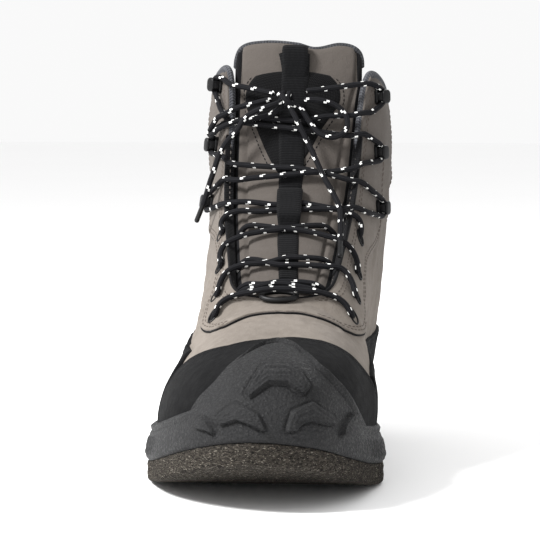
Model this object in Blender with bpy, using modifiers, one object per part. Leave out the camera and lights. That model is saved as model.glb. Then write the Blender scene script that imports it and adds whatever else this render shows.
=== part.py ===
"""A felt-soled wading boot for the right foot, standing empty on its sole.

The toe points to -Y, the inner side of the foot to +X, and +Z is up. The origin is on the floor under
the heel. The upper is one surface, side(t, v): t runs round the boot in stations, from 0 at the toe along
the outer side to 14 at the heel and back along the inner side, and v climbs from the sole (0) to the top
line (1). The overlays, the rubber, the tongue and the laces are all worked out from that surface.
"""

from collections import namedtuple
from math import cos, radians, sin

import bmesh
import bpy
import numpy as np
from mathutils import Matrix, Vector

# Driving dimensions, in metres
SOLE_LENGTH = 0.312
BALL_WIDTH = 0.1205
HEEL_WIDTH = 0.086
HEEL_OVERHANG = 0.042
TOE_SPRING = 0.0245
FELT = 0.0105
DECK = 0.009
FOXING_HEIGHT = 0.0185
FOXING_FLARE = 0.0036
FOOT_INSET = 0.0085
CAP_WALL = 0.0026
SHAFT_HEIGHT = 0.209
SHAFT_WIDTH = 0.1058
WALL = 0.0022
OVERLAY = 0.0012
INSOLE = 0.004
TONGUE = 0.0045
TONGUE_RISE = 0.036
WEBBING = 0.0011
PATCH = 0.0008
LACE = 0.003
HOOK_WIDTH = 0.0085
HOOK_LENGTH = 0.0095
HOOK_HEIGHT = 0.0062
RING_WIDTH = 0.0208
RING_DEPTH = 0.0135
RING_WIRE = 0.003
SLOT_LENGTH = 0.0075
SLOT_WIDTH = 0.003

# Clearances, in metres
GAP = 0.0003
OVERLAY_GAP = 0.0006
TONGUE_GAP = 0.001

HEEL = 14
RIDGE = 5
COLLAR = 10
LOOP = 2 * HEEL

# The tongue's edges lie at this height share, and a step of w past the throat's edge is this much of it
TUCK = 0.93
SIDE_PACE = 0.5
DECK_BULGE = 0.72
TONGUE_BULGE = 0.85
SHAFT_SLOPE = (0.0, 0.25 * TONGUE_RISE, 0.97 * TONGUE_RISE)

# Outline of the sole from toe to heel: share of the length, shares of the local width on each side, and
# the handle that leads the upper off the sole, as shares of ball width and of shaft height
SoleRow = namedtuple("SoleRow", "along outer inner lead_outer lead_inner up")
SOLE_ROWS = [
    SoleRow(0.000, 0.000, 0.000, 0.017, 0.017, 0.132),
    SoleRow(0.030, 0.199, 0.216, 0.020, 0.020, 0.132),
    SoleRow(0.080, 0.324, 0.315, 0.040, 0.040, 0.134),
    SoleRow(0.160, 0.432, 0.398, 0.065, 0.070, 0.138),
    SoleRow(0.250, 0.498, 0.440, 0.075, 0.095, 0.144),
    SoleRow(0.330, 0.535, 0.465, 0.070, 0.105, 0.152),
    SoleRow(0.420, 0.522, 0.438, 0.060, 0.095, 0.165),
    SoleRow(0.520, 0.475, 0.387, 0.075, 0.070, 0.190),
    SoleRow(0.620, 0.450, 0.375, 0.105, 0.075, 0.215),
    SoleRow(0.720, 0.455, 0.414, 0.130, 0.100, 0.240),
    SoleRow(0.820, 0.467, 0.467, 0.150, 0.130, 0.260),
    SoleRow(0.900, 0.454, 0.454, 0.130, 0.130, 0.260),
    SoleRow(0.960, 0.336, 0.336, 0.100, 0.100, 0.250),
    SoleRow(0.985, 0.190, 0.190, 0.075, 0.075, 0.245),
    SoleRow(1.000, 0.000, 0.000, 0.066, 0.066, 0.240),
]

# Top line from the ridge of the vamp along the throat and round the collar: share of the sole's length,
# shares of shaft height, shaft width and ball width, then the direction that the handle faces in plan,
# in degrees from the toe, its reach outwards and downwards, its lean to the inner side, and how much
# lower the inner side stands
TopRow = namedtuple("TopRow", "along rise half shift facing out drop lean dip")
TOP_ROWS = [
    TopRow(0.256, 0.371, 0.000, 0.033, 0, 0.332, 0.031, 0.000, 0.000),
    TopRow(0.266, 0.375, 0.000, 0.037, 35, 0.330, 0.028, 0.002, 0.000),
    TopRow(0.282, 0.383, 0.000, 0.037, 60, 0.315, 0.020, 0.008, 0.000),
    TopRow(0.308, 0.395, 0.000, 0.033, 78, 0.295, 0.010, 0.014, 0.000),
    TopRow(0.340, 0.411, 0.000, 0.025, 86, 0.280, 0.005, 0.020, 0.000),
    TopRow(0.378, 0.431, 0.000, 0.018, 90, 0.260, 0.003, 0.022, 0.000),
    TopRow(0.397, 0.447, 0.189, 0.017, 92, 0.150, 0.020, 0.020, 0.000),
    TopRow(0.462, 0.512, 0.255, 0.016, 100, 0.160, 0.070, 0.010, 0.000),
    TopRow(0.561, 0.636, 0.298, 0.013, 114, 0.165, 0.120, 0.004, 0.000),
    TopRow(0.628, 0.789, 0.321, 0.018, 125, 0.155, 0.165, 0.000, 0.000),
    TopRow(0.670, 0.975, 0.345, 0.028, 125, 0.135, 0.190, 0.000, 0.012),
    TopRow(0.721, 1.000, 0.410, 0.024, 105, 0.105, 0.215, 0.000, 0.014),
    TopRow(0.840, 0.952, 0.444, 0.004, 98, 0.105, 0.215, 0.000, 0.010),
    TopRow(0.929, 0.957, 0.302, 0.000, 145, 0.010, 0.230, 0.000, 0.004),
    TopRow(0.971, 0.971, 0.000, 0.000, 180, -0.100, 0.250, 0.000, 0.000),
]


def smoothstep(low, high, value):
    """0 below low, 1 above high and an even curve between them."""
    share = np.clip((np.asarray(value, float) - low) / (high - low), 0.0, 1.0)
    return share * share * (3.0 - 2.0 * share)


def closed_curve(rows):
    """The smooth closed curve through the rows, as a function of the station t."""
    rows = np.asarray(rows, float)
    count = len(rows)
    system = 4.0 * np.eye(count) + np.roll(np.eye(count), 1, 0) + np.roll(np.eye(count), -1, 0)
    bends = np.linalg.solve(system, 6.0 * (np.roll(rows, 1, 0) - 2.0 * rows + np.roll(rows, -1, 0)))

    def at(t):
        t = np.asarray(t, float)
        low = np.floor(t).astype(int)
        share = (t - low)[..., None]
        rest = 1.0 - share
        first, second = low % count, (low + 1) % count
        line = rows[first] * rest + rows[second] * share
        return line + (bends[first] * (rest**3 - rest) + bends[second] * (share**3 - share)) / 6.0

    return at


def open_curve(rows):
    """A smooth curve through rows of numbers, as a function of the place in the list."""
    rows = np.asarray(rows, float)
    padded = np.concatenate([[2 * rows[0] - rows[1]], rows, [2 * rows[-1] - rows[-2]]])

    def at(place):
        place = np.clip(np.asarray(place, float), 0.0, len(rows) - 1.0)
        low = np.minimum(np.floor(place).astype(int), len(rows) - 2)
        s = (place - low)[..., None]
        a, b, c, d = (padded[low + step] for step in range(4))
        return b + 0.5 * s * (c - a + s * (2 * a - 5 * b + 4 * c - d + s * (3 * (b - c) + d - a)))

    return at


def edge_curve(*pairs):
    """A smooth line v(t) for the edge of an overlay, through pairs of station and height share."""
    stations, heights = np.array(pairs, float).T
    curve = open_curve(heights[:, None])
    return lambda t: curve(np.interp(t, stations, np.arange(len(stations))))[..., 0]


def sole_width(along):
    """Local width of the sole: the ball's in front of the waist, easing to the heel's."""
    return BALL_WIDTH + (HEEL_WIDTH - BALL_WIDTH) * smoothstep(0.33, 1.0, along)


def sole_y(along):
    return HEEL_OVERHANG - SOLE_LENGTH * (1.0 - along)


def spring(y):
    """How far the sole has left the floor at y, in front of the flat of the forefoot."""
    reach = 0.385
    ahead = np.clip((sole_y(reach) - np.asarray(y, float)) / (SOLE_LENGTH * reach), 0.0, None)
    return TOE_SPRING * ahead**1.9


def sole_rows():
    """One row for each of the stations round the sole."""
    for station in range(LOOP):
        row = SOLE_ROWS[min(station, LOOP - station)]
        width = sole_width(row.along)
        half, lead = (row.inner, row.lead_inner) if station > HEEL else (-row.outer, row.lead_outer)
        yield (half * width, sole_y(row.along), lead * BALL_WIDTH, row.up * SHAFT_HEIGHT)


def top_rows():
    """One row for each station of the top line: point, half opening and handle."""
    for station in range(LOOP):
        row = TOP_ROWS[min(station, LOOP - station)]
        hand = 1.0 if station > HEEL else -1.0
        out = row.out * BALL_WIDTH
        yield (
            row.shift * BALL_WIDTH,
            sole_y(row.along),
            (row.rise - (row.dip if hand > 0 else 0.0)) * SHAFT_HEIGHT,
            hand * row.half * SHAFT_WIDTH,
            hand * out * sin(radians(row.facing)) + row.lean * BALL_WIDTH,
            -out * cos(radians(row.facing)),
            -row.drop * SHAFT_HEIGHT,
        )


SOLE_CURVE = closed_curve(list(sole_rows()))
TOP_CURVE = closed_curve(list(top_rows()))
STEP = 1e-3


def outline(t, inset=0.0, z=0.0):
    """Points of the sole's outline, moved in by inset and lifted to z above the sprung floor line."""
    t = np.asarray(t, float)
    point = SOLE_CURVE(t)[..., :2]
    along = SOLE_CURVE(t + STEP)[..., :2] - SOLE_CURVE(t - STEP)[..., :2]
    along /= np.linalg.norm(along, axis=-1, keepdims=True)
    outward = np.stack([-along[..., 1], along[..., 0]], -1)
    point = point - outward * np.asarray(inset, float)[..., None]
    height = np.asarray(z, float) + spring(point[..., 1])
    return np.concatenate([point, height[..., None]], -1)


def outward_of(t):
    """Unit vectors that point out of the sole's outline, level with the floor."""
    return (outline(t, inset=-1.0) - outline(t)) * (1.0, 1.0, 0.0)


FLOOR_LINE = FELT + GAP + DECK + GAP


def folded(t):
    """Stations from the toe, 0 to 14, whichever side t is on."""
    t = np.mod(np.asarray(t, float), LOOP)
    return np.minimum(t, LOOP - t)


def ends_of(t):
    """Foot point, its handle, the top line's handle and the top line's point, for each station."""
    foot = outline(t, FOOT_INSET, FLOOR_LINE)
    sole = SOLE_CURVE(t)
    lead = outward_of(t) * sole[..., 2:3]
    lead[..., 2] += sole[..., 3]
    rows = TOP_CURVE(t)
    half = np.where(folded(t) <= RIDGE, 0.0, rows[..., 3])
    top = np.stack([rows[..., 0] + half, rows[..., 1], rows[..., 2]], -1)
    return foot, foot + lead, top + rows[..., 4:7], top


def plain(t, v):
    """The upper's outer surface at station t and height share v."""
    v = np.asarray(v, float)[..., None]
    w = 1.0 - v
    a, b, c, d = ends_of(t)
    return w**3 * a + 3 * w * w * v * b + 3 * w * v * v * c + v**3 * d


def normal_of(t, v):
    t, v = np.broadcast_arrays(np.asarray(t, float), np.asarray(v, float))
    low = np.clip(v, 0.01, 0.985)
    round_boot = plain(t + STEP, low) - plain(t - STEP, low)
    upward = plain(t, low + STEP) - plain(t, low - STEP)
    normal = np.cross(upward, round_boot)
    return normal / np.linalg.norm(normal, axis=-1, keepdims=True)


def side(t, v, lift=0.0):
    """The upper's outer surface, or the surface that lies lift outside it."""
    t, v = np.broadcast_arrays(np.asarray(t, float), np.asarray(v, float))
    normal = normal_of(t, v)
    on_ridge = (v > 1.0 - STEP) & (folded(t) <= RIDGE)
    both = normal + normal_of(-t, v)
    both /= np.linalg.norm(both, axis=-1, keepdims=True)
    normal = np.where(on_ridge[..., None], both, normal)
    return plain(t, v) + normal * np.asarray(lift, float)[..., None]


def bridged(start, start_lead, end, end_lead, share):
    """The cubic that leaves start along start_lead and reaches end against end_lead."""
    share = np.asarray(share, float)[..., None]
    rest = 1.0 - share
    first, second = start + start_lead / 3.0, end + end_lead / 3.0
    return rest**3 * start + 3 * rest**2 * share * first + 3 * rest * share**2 * second + share**3 * end


def throat_points(u, w, edge, bulge, lift):
    """A surface across the throat at station u, from w = -1 on the outer side to 1 on the inner side.

    It leaves each side at height share edge, along the upper's own surface, and beyond w = 1 it goes on
    down that surface. bulge says how far it follows the sides' own slope between them. Above the collar's
    station it rises straight up.
    """
    u, w, edge, lift = np.broadcast_arrays(*(np.asarray(a, float) for a in (u, w, edge, lift)))
    station = np.minimum(u, COLLAR)
    reach = edge - SIDE_PACE * np.clip(np.abs(w) - 1.0, 0.0, None)
    hands = []
    for hand in (1.0, -1.0):
        rim = side(hand * station, reach, lift)
        pace = (side(hand * station, reach, lift) - side(hand * station, reach - STEP, lift)) / STEP
        hands.append((rim, pace / np.linalg.norm(pace, axis=-1, keepdims=True)))
    (outer, outer_pace), (inner, inner_pace) = hands
    span = bulge * np.linalg.norm(inner - outer, axis=-1, keepdims=True)
    middle = bridged(outer, outer_pace * span, inner, inner_pace * span, np.clip((w + 1.0) / 2.0, 0.0, 1.0))
    return middle + np.clip(u - COLLAR, 0.0, None)[..., None] * np.array(SHAFT_SLOPE)


def deck(u, w, lift):
    """Where the laces run: over the throat's edges and across between them."""
    return throat_points(u, w, 1.0, DECK_BULGE, lift)


def tongue_front(u, w, lift=0.0):
    """Front face of the tongue, tucked under the throat's edges."""
    return throat_points(u, w, TUCK, TONGUE_BULGE, np.asarray(lift, float) - WALL - TONGUE_GAP)


def height_share(t, z):
    """The height share v at which each station's profile passes z."""
    shares = np.linspace(0.0, 0.7, 141)
    t, z = np.broadcast_arrays(np.asarray(t, float), np.asarray(z, float))
    heights = plain(t[..., None], shares)[..., 2]
    return np.array([np.interp(level, row, shares) for level, row in zip(z, heights)])


def material(name, colour, roughness, metallic=0.0):
    found = bpy.data.materials.new(name)
    found.use_nodes = True
    shader = found.node_tree.nodes["Principled BSDF"]
    shader.inputs["Base Color"].default_value = (*colour, 1.0)
    shader.inputs["Roughness"].default_value = roughness
    shader.inputs["Metallic"].default_value = metallic
    return found


def add_object(name, mesh, finish, collection=None):
    obj = bpy.data.objects.new(name, mesh)
    (collection or PARTS).objects.link(obj)
    if finish:
        mesh.materials.append(finish)
    return obj


def mesh_from(name, points, faces):
    """A mesh whose doubled points are merged and whose collapsed faces are gone."""
    mesh = bpy.data.meshes.new(name)
    mesh.from_pydata([tuple(p) for p in np.asarray(points, float).reshape(-1, 3)], [], faces)
    work = bmesh.new()
    work.from_mesh(mesh)
    bmesh.ops.remove_doubles(work, verts=work.verts, dist=1e-5)
    work.to_mesh(mesh)
    work.free()
    mesh.shade_smooth()
    mesh.set_sharp_from_angle(angle=radians(40))
    return mesh


def grid_faces(rows, columns, wrap=False):
    """Quads of a grid of points that is stored row by row."""
    faces = []
    for row in range(rows - 1):
        for column in range(columns if wrap else columns - 1):
            following = (column + 1) % columns
            low, high = row * columns, (row + 1) * columns
            faces.append((low + column, low + following, high + following, high + column))
    return faces


def shell(name, grids, thickness, finish, wrap=False):
    """Open grids of points, rows by columns, thickened outwards by Solidify, or inwards if negative."""
    points, faces = [], []
    for grid in grids:
        rows, columns = grid.shape[:2]
        start = sum(len(part) for part in points)
        faces += [tuple(start + corner for corner in face) for face in grid_faces(rows, columns, wrap)]
        points.append(grid.reshape(-1, 3))
    obj = add_object(name, mesh_from(name, np.concatenate(points), faces), finish)
    solid = obj.modifiers.new("thickness", "SOLIDIFY")
    solid.thickness = abs(thickness)
    solid.offset = 1.0 if thickness > 0 else -1.0
    solid.use_even_offset = True
    solid.use_quality_normals = True
    return obj


def lofted(name, rings, finish, whole=True):
    """A closed solid through rings of points; its first and last ring are capped by cross strips.

    Each ring is symmetrical round the toe or the heel, so a strip joins a point to its opposite.
    """
    count = len(rings[0])
    points = np.concatenate(rings)
    faces = grid_faces(len(rings), count, wrap=whole)
    last = (len(rings) - 1) * count
    for start, turned in ((0, True), (last, False)):
        for i in range(count // 2 if whole else (count - 1) // 2):
            opposite = (-i) % count if whole else count - 1 - i
            before = (opposite - 1) % count
            strip = [start + i, start + i + 1, start + before, start + opposite]
            strip = list(dict.fromkeys(strip))
            faces.append(strip[::-1] if turned else strip)
    if not whole:
        for k in range(len(rings) - 1):
            low, high = k * count, (k + 1) * count
            faces.append((low + count - 1, low, high, high + count - 1))
    obj = add_object(name, mesh_from(name, points, faces), finish)
    work = bmesh.new()
    work.from_mesh(obj.data)
    bmesh.ops.recalc_face_normals(work, faces=work.faces)
    work.to_mesh(obj.data)
    work.free()
    return obj


def stations(*stops):
    """Stations from stop to stop; each stretch is a triple of start, end and number of steps."""
    values = [np.linspace(start, end, steps, endpoint=False) for start, end, steps in stops]
    return np.concatenate(values + [[stops[-1][1]]])


HALF_LOOP = stations((0, 1.5, 6), (1.5, 4, 5), (4, 6, 4), (6, 14, 13))
WHOLE_LOOP = np.concatenate([HALF_LOOP, LOOP - HALF_LOOP[-2:0:-1]])
LEVELS = np.linspace(0.0, 1.0, 13)
LEVEL_SNAP = 0.006

# Height shares of the edges of rubber and overlays, by station, on the outer and on the inner side
CAP_EDGE = {
    "outer": edge_curve((0, 0.85), (0.28, 0.794), (0.6, 0.625), (1.04, 0.35), (1.6, 0.219), (2.2, 0.081),
                        (3, 0.0)),
    "inner": edge_curve((0, 0.85), (0.3, 0.85), (0.7, 0.78), (0.92, 0.65), (1.36, 0.50), (1.88, 0.413),
                        (2.44, 0.325), (3.24, 0.188), (4.2, 0.08), (5.2, 0.0)),
}
RAND_EDGE = {
    "outer": edge_curve((0, 0.905), (0.68, 0.85), (1.24, 0.775), (1.72, 0.681), (2.72, 0.569),
                        (3.5, 0.488), (4.0, 0.41), (4.4, 0.29)),
    "inner": edge_curve((0, 0.905), (1.0, 0.869), (2.16, 0.725), (2.96, 0.60), (3.76, 0.481), (4.8, 0.28)),
}
COUNTER_EDGE = {
    "outer": edge_curve((4.4, 0.43), (4.8, 0.475), (5.6, 0.481), (6.5, 0.50), (7, 0.52), (8, 0.50),
                        (9, 0.45), (14, 0.45)),
    "inner": edge_curve((4.8, 0.35), (5.6, 0.40), (6.3, 0.43), (7.4, 0.44), (9, 0.42), (14, 0.45)),
}
EYESTAY_EDGE = {
    "outer": edge_curve((3.95, 0.97), (4.08, 0.888), (4.16, 0.806), (4.28, 0.725), (4.4, 0.663),
                        (5.0, 0.605), (5.84, 0.60), (6.28, 0.656), (6.56, 0.71), (6.92, 0.80),
                        (7.24, 0.844), (7.84, 0.84), (8.4, 0.75), (9, 0.68), (9.7, 0.70), (10.3, 0.78)),
    "inner": edge_curve((3.95, 0.97), (4.12, 0.90), (4.24, 0.806), (4.6, 0.688), (5.32, 0.60),
                        (5.76, 0.569), (6.44, 0.556), (6.8, 0.60), (7.16, 0.656), (7.48, 0.713),
                        (7.88, 0.73), (8.4, 0.67), (9.2, 0.60), (9.8, 0.66), (10.3, 0.74)),
}
RAND_END = {"outer": 4.4, "inner": 4.8}
EYESTAY_STATIONS = (3.95, 4.08, 4.16, 4.28, 4.4, 4.7)
EYESTAY_END = 10.3
SIDES = {"outer": 1.0, "inner": -1.0}


def foxing_share(t):
    """Height share of the foxing's top, on the upper's own surface."""
    level = FELT + GAP + FOXING_HEIGHT + spring(outline(t)[..., 1])
    return height_share(t, level)


def rubber_share(t):
    """Height share of the rubber's top edge: the cap at the toe, the foxing elsewhere."""
    t = np.asarray(t, float)
    outer = np.mod(t, LOOP) <= HEEL
    cap = np.where(outer, CAP_EDGE["outer"](folded(t)), CAP_EDGE["inner"](folded(t)))
    return np.maximum(foxing_share(t) + 0.012, cap)


def on_facets(t, v, lift):
    """A point on the upper's own flat facets, or lift outside them: overlays lie parallel to it so."""
    t, v = np.broadcast_arrays(np.mod(np.asarray(t, float), LOOP), np.asarray(v, float))
    columns = np.append(WHOLE_LOOP, LOOP)
    left = np.clip(np.searchsorted(columns, t + 1e-9) - 1, 0, len(columns) - 2)
    below = np.clip(np.searchsorted(LEVELS, v + 1e-9) - 1, 0, len(LEVELS) - 2)
    right_share = ((t - columns[left]) / (columns[left + 1] - columns[left]))[..., None]
    up_share = ((v - LEVELS[below]) / (LEVELS[below + 1] - LEVELS[below]))[..., None]
    low, high = (
        side(columns[left], LEVELS[below + step], lift) * (1.0 - right_share)
        + side(columns[left + 1], LEVELS[below + step], lift) * right_share
        for step in (0, 1)
    )
    return low * (1.0 - up_share) + high * up_share


def between(low, high):
    """Rows of height shares from low to high, at the upper's own levels where those lie between."""
    low, high = (edge_to_level(edge) for edge in (low, high))
    return np.clip(LEVELS[:, None], low, np.maximum(low, high))


def edge_to_level(edge):
    """The edge, moved onto the upper's nearest level where it all but touches it."""
    edge = np.asarray(edge, float)
    nearest = LEVELS[np.abs(edge[..., None] - LEVELS).argmin(-1)]
    return np.where(np.abs(edge - nearest) < LEVEL_SNAP, nearest, edge)


def make_upper():
    grid = side(WHOLE_LOOP[None, ::-1], LEVELS[:, None])
    return shell("upper", [grid], -WALL, TAUPE, wrap=True)


def make_cupsole():
    t = WHOLE_LOOP
    base = FELT + GAP
    top = foxing_share(t)
    edge = rubber_share(t)
    rings = [
        outline(t, 0.0008, base),
        outline(t, 0.0, base + 0.0015),
        outline(t, 0.0002, base + 0.4 * FOXING_HEIGHT),
        outline(t, 0.7 * FOXING_FLARE, base + 0.92 * FOXING_HEIGHT),
        outline(t, FOXING_FLARE, base + FOXING_HEIGHT),
    ]
    rings += [on_facets(t, row, CAP_WALL) for row in between(top, edge)]
    rings += [on_facets(t, row, OVERLAY_GAP) for row in between(0.0 * edge, edge)[::-1]]
    rings.append(outline(t, FOOT_INSET - OVERLAY_GAP, base + DECK))
    return lofted("rubber_cupsole", rings, RUBBER)


def make_felts():
    """Two felt pads with rounded lower edges; the rubber shows between them at the waist."""
    edge = 0.0012
    for name, middle, reach in (("felt_forefoot", 0, 6.9), ("felt_heel", HEEL, 4.4)):
        half = np.linspace(0.0, reach, 12)
        t = np.concatenate([middle - half[:0:-1], middle + half])
        rings = [
            outline(t, 1.5 * edge, 0.0),
            outline(t, 0.5 * edge, edge),
            outline(t, 0.5 * edge, FELT),
        ]
        lofted(name, rings, FELT_GREY, whole=False)


def make_insole():
    t = WHOLE_LOOP
    inset = FOOT_INSET + WALL + OVERLAY_GAP
    rings = [outline(t, inset, FLOOR_LINE), outline(t, inset, FLOOR_LINE + INSOLE)]
    return lofted("insole", rings, DARK_CLOTH)


def overlay(t, low, high):
    """A grid of points between two edges on the upper, just clear of it."""
    return on_facets(t[None, :], between(low, high), OVERLAY_GAP)[:, ::-1]


def columns_between(start, end):
    """start, the upper's own columns between the two, and end."""
    inside = HALF_LOOP[(HALF_LOOP > start + 0.05) & (HALF_LOOP < end - 0.05)]
    return np.concatenate([[start], inside, [end]])


def make_rand():
    """Nubuck overlay round the forefoot, from the rubber's edge up to the vamp."""
    outer = columns_between(0.0, RAND_END["outer"])
    inner = columns_between(0.0, RAND_END["inner"])
    high = np.concatenate([RAND_EDGE["inner"](inner[:0:-1]), RAND_EDGE["outer"](outer)])
    t = np.concatenate([-inner[:0:-1], outer])
    low = np.minimum(rubber_share(t) + RAND_MARGIN, high - RAND_MARGIN)
    return shell("toe_rand", [overlay(t, low, high)], OVERLAY, CHARCOAL)


def make_counter():
    """Overlay round both quarters and the heel."""
    outer = columns_between(RAND_END["outer"] + SEAM, HEEL)
    inner = columns_between(RAND_END["inner"] + SEAM, HEEL)
    high = np.concatenate([COUNTER_EDGE["outer"](outer), COUNTER_EDGE["inner"](inner[-2::-1])])
    t = np.concatenate([outer, LOOP - inner[-2::-1]])
    low = np.minimum(rubber_share(t) + RAND_MARGIN, high - RAND_MARGIN)
    return shell("heel_counter", [overlay(t, low, high)], OVERLAY, CHARCOAL)


def make_eyestay():
    """Overlay round the throat's base and up both of its sides."""
    t = np.concatenate([EYESTAY_STATIONS, columns_between(5.0, EYESTAY_END)])
    high = 1.0 - EYESTAY_MARGIN * smoothstep(RIDGE, RIDGE + 1, t)
    grids = []
    for name, hand in SIDES.items():
        grid = overlay(hand * t, EYESTAY_EDGE[name](t), high)
        grids.append(grid[:, :: int(hand)])
    return shell("eyestay", grids, OVERLAY, TAUPE)


def tongue_stations(rows, w):
    """Stations of the tongue's rows: those above the collar's share out the way to its wavy top edge."""
    return np.minimum(rows, COLLAR) + np.clip(rows - COLLAR, 0.0, 1.0) * (TONGUE_TOP(w) - COLLAR)


def make_tongue():
    rows = stations((4.7, 6, 3), (6, COLLAR, 10), (COLLAR, COLLAR + 1, 2))[:, None]
    w = np.array([[-1.0, -0.95, -0.8, -0.5, -0.25, 0.0, 0.2, 0.5, 0.8, 0.95, 1.0]])
    return shell("tongue", [tongue_front(tongue_stations(rows, w), w)], -TONGUE, TAUPE)


def make_patch():
    """Shield on the tongue, wide below its top edge and narrowing to the webbing."""
    rows = np.array(SHIELD_ROWS, float)
    share = np.linspace(-1.0, 1.0, 7)[None, :]
    w = SHIELD_MIDDLE + rows[:, 1:] * share
    return shell("tongue_patch", [tongue_front(rows[:, :1] + 0.0 * w, w, OVERLAY_GAP)], PATCH, BLACK_WEB)


def make_webbing():
    """Strip down the tongue: it humps over one lace crossing and stands off at its top."""
    rows = np.array(WEBBING_ROWS, float)
    u, middle, half, hump = (open_curve(rows)(np.linspace(0, len(rows) - 1, 21)).T)[:, :, None]
    base = OVERLAY_GAP + (PATCH + OVERLAY_GAP) * smoothstep(8.25, 8.45, u)
    lift = base + KEEPER_RISE * hump
    w = middle + half * np.array([[-1.0, 0.0, 1.0]])
    return shell("tongue_webbing", [tongue_front(u + 0.0 * w, w, lift + 0.0 * w)], WEBBING, BLACK_WEB)


def tube(name, points, radius, finish, sides=2):
    """A round cord through the points, with closed ends."""
    curve = bpy.data.curves.new(name, "CURVE")
    curve.dimensions = "3D"
    curve.bevel_depth = radius
    curve.bevel_resolution = sides
    curve.use_fill_caps = True
    spline = curve.splines.new("POLY")
    spline.points.add(len(points) - 1)
    for target, point in zip(spline.points, points):
        target.co = (*point, 1.0)
    return add_object(name, curve, finish)


def as_mesh(obj):
    """The curve as a mesh object of the same name, with its caps welded."""
    bpy.context.view_layer.update()
    mesh = bpy.data.meshes.new_from_object(obj.evaluated_get(bpy.context.evaluated_depsgraph_get()))
    work = bmesh.new()
    work.from_mesh(mesh)
    bmesh.ops.remove_doubles(work, verts=work.verts, dist=1e-6)
    work.to_mesh(mesh)
    work.free()
    name, matrix = obj.name, obj.matrix_world.copy()
    bpy.data.objects.remove(obj)
    made = add_object(name, mesh, None)
    made.matrix_world = matrix
    return made


def join(obj, other, operation="UNION"):
    """Joins other to obj, or cuts it away, and keeps other only as a hidden helper."""
    boolean = obj.modifiers.new(other.name, "BOOLEAN")
    boolean.operation = operation
    boolean.object = other
    for group in list(other.users_collection):
        group.objects.unlink(other)
    if other.name not in CUTTERS.objects:
        CUTTERS.objects.link(other)
    other.hide_render = True
    other.display_type = "WIRE"


def trimmed(points, end):
    """The route without what lies inside the knot or near it, and with a new end at the knot."""
    distance = np.linalg.norm((points - deck(*KNOT_PLACE)) / np.array(KNOT_RADII), axis=1)
    kept = points[distance > 1.7]
    place = from_knot(kept[end])
    return np.concatenate([[place], kept]) if end == 0 else np.concatenate([kept, [place]])


def lace_points(route, ends=(False, False)):
    """Points of a lace: its route's rows are station, place across and lift in lace diameters."""
    rows = np.array(route, float)
    rows[:, 2] *= LACE
    fine = open_curve(rows)(np.linspace(0, len(rows) - 1, 20 * len(rows)))
    points = deck(fine[:, 0], fine[:, 1], fine[:, 2])
    for knotted, neighbour in ((ends[0], 0), (ends[1], -1)):
        if knotted:
            points = trimmed(points, neighbour)
    length = np.concatenate([[0.0], np.cumsum(np.linalg.norm(np.diff(points, axis=0), axis=1))])
    places = np.linspace(0.0, length[-1], max(5, 1 + round(length[-1] / LACE_PACE)))
    return np.stack([np.interp(places, length, points[:, axis]) for axis in range(3)], 1)


def make_crossings():
    for name, strands in CROSSINGS.items():
        tubes = []
        for number, route in enumerate(strands):
            label = name if number == 0 else f"{name}_strand"
            knotted = (False, name.startswith("lace_top"))
            tubes.append(tube(label, lace_points(route, knotted), LACE / 2, LACE_BLACK))
        if len(tubes) == 2:
            first, second = (as_mesh(one) for one in tubes)
            join(first, second)


def make_bow():
    for name, route in BOW.items():
        tube(name, lace_points(route, (True, "loop" in name)), LACE / 2, LACE_BLACK)
    work = bmesh.new()
    bmesh.ops.create_uvsphere(work, u_segments=10, v_segments=7, radius=1.0)
    bmesh.ops.scale(work, vec=KNOT_RADII, verts=work.verts)
    mesh = bpy.data.meshes.new("lace_knot")
    work.to_mesh(mesh)
    work.free()
    add_object("lace_knot", mesh, LACE_BLACK).location = deck(*KNOT_PLACE)


def from_knot(point):
    """The place just outside the knot, on the line from its middle to the point."""
    middle = deck(*KNOT_PLACE)
    away = (point - middle) / np.linalg.norm(point - middle)
    radius = 1.0 / np.linalg.norm(away / np.array(KNOT_RADII))
    return middle + away * (radius + GAP)


def frame_on_upper(t, v, lift):
    """A frame on the upper's surface: X towards the throat, Y up along it, Z outwards."""
    origin = side(t, v, lift)
    outward = Vector(normal_of(t, v))
    up = Vector((0.0, 0.0, 1.0))
    up = (up - outward * up.dot(outward)).normalized()
    across = up.cross(outward).normalized()
    matrix = Matrix((across, up, outward)).transposed().to_4x4()
    matrix.translation = Vector(origin)
    return matrix


def block(name, size, place, matrix, finish):
    """A box of the given size, its middle at place in the frame."""
    work = bmesh.new()
    bmesh.ops.create_cube(work, size=1.0)
    bmesh.ops.scale(work, vec=size, verts=work.verts)
    bmesh.ops.translate(work, vec=place, verts=work.verts)
    mesh = bpy.data.meshes.new(name)
    work.to_mesh(mesh)
    work.free()
    obj = add_object(name, mesh, finish)
    obj.matrix_world = matrix
    return obj


def make_hooks():
    """Speed hooks: a foot, a neck on the throat's side and a head that reaches away from it."""
    foot, head = 0.0014, 0.0018
    neck = HOOK_HEIGHT - foot - head
    for name, hand in SIDES.items():
        for number, (t, v) in enumerate(HOOKS[name], 1):
            matrix = frame_on_upper(hand * t, v, OVERLAY_GAP + OVERLAY + GAP)
            label = f"hook_{name}_{number}"
            hook = block(label, (HOOK_WIDTH, HOOK_LENGTH, foot), (0, 0, foot / 2), matrix, BLACK_HARD)
            inwards = hand * 0.3 * HOOK_WIDTH
            overlap = 0.0003
            parts = (
                ((0.35 * HOOK_WIDTH, 0.5 * HOOK_LENGTH, neck + 2 * overlap), (inwards, foot + neck / 2)),
                ((HOOK_WIDTH, 0.9 * HOOK_LENGTH, head), (0.0, foot + neck + head / 2)),
            )
            for part, (size, (x, z)) in zip(("neck", "head"), parts):
                join(hook, block(f"{label}_{part}", size, (x, 0, z), matrix, None))


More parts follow.
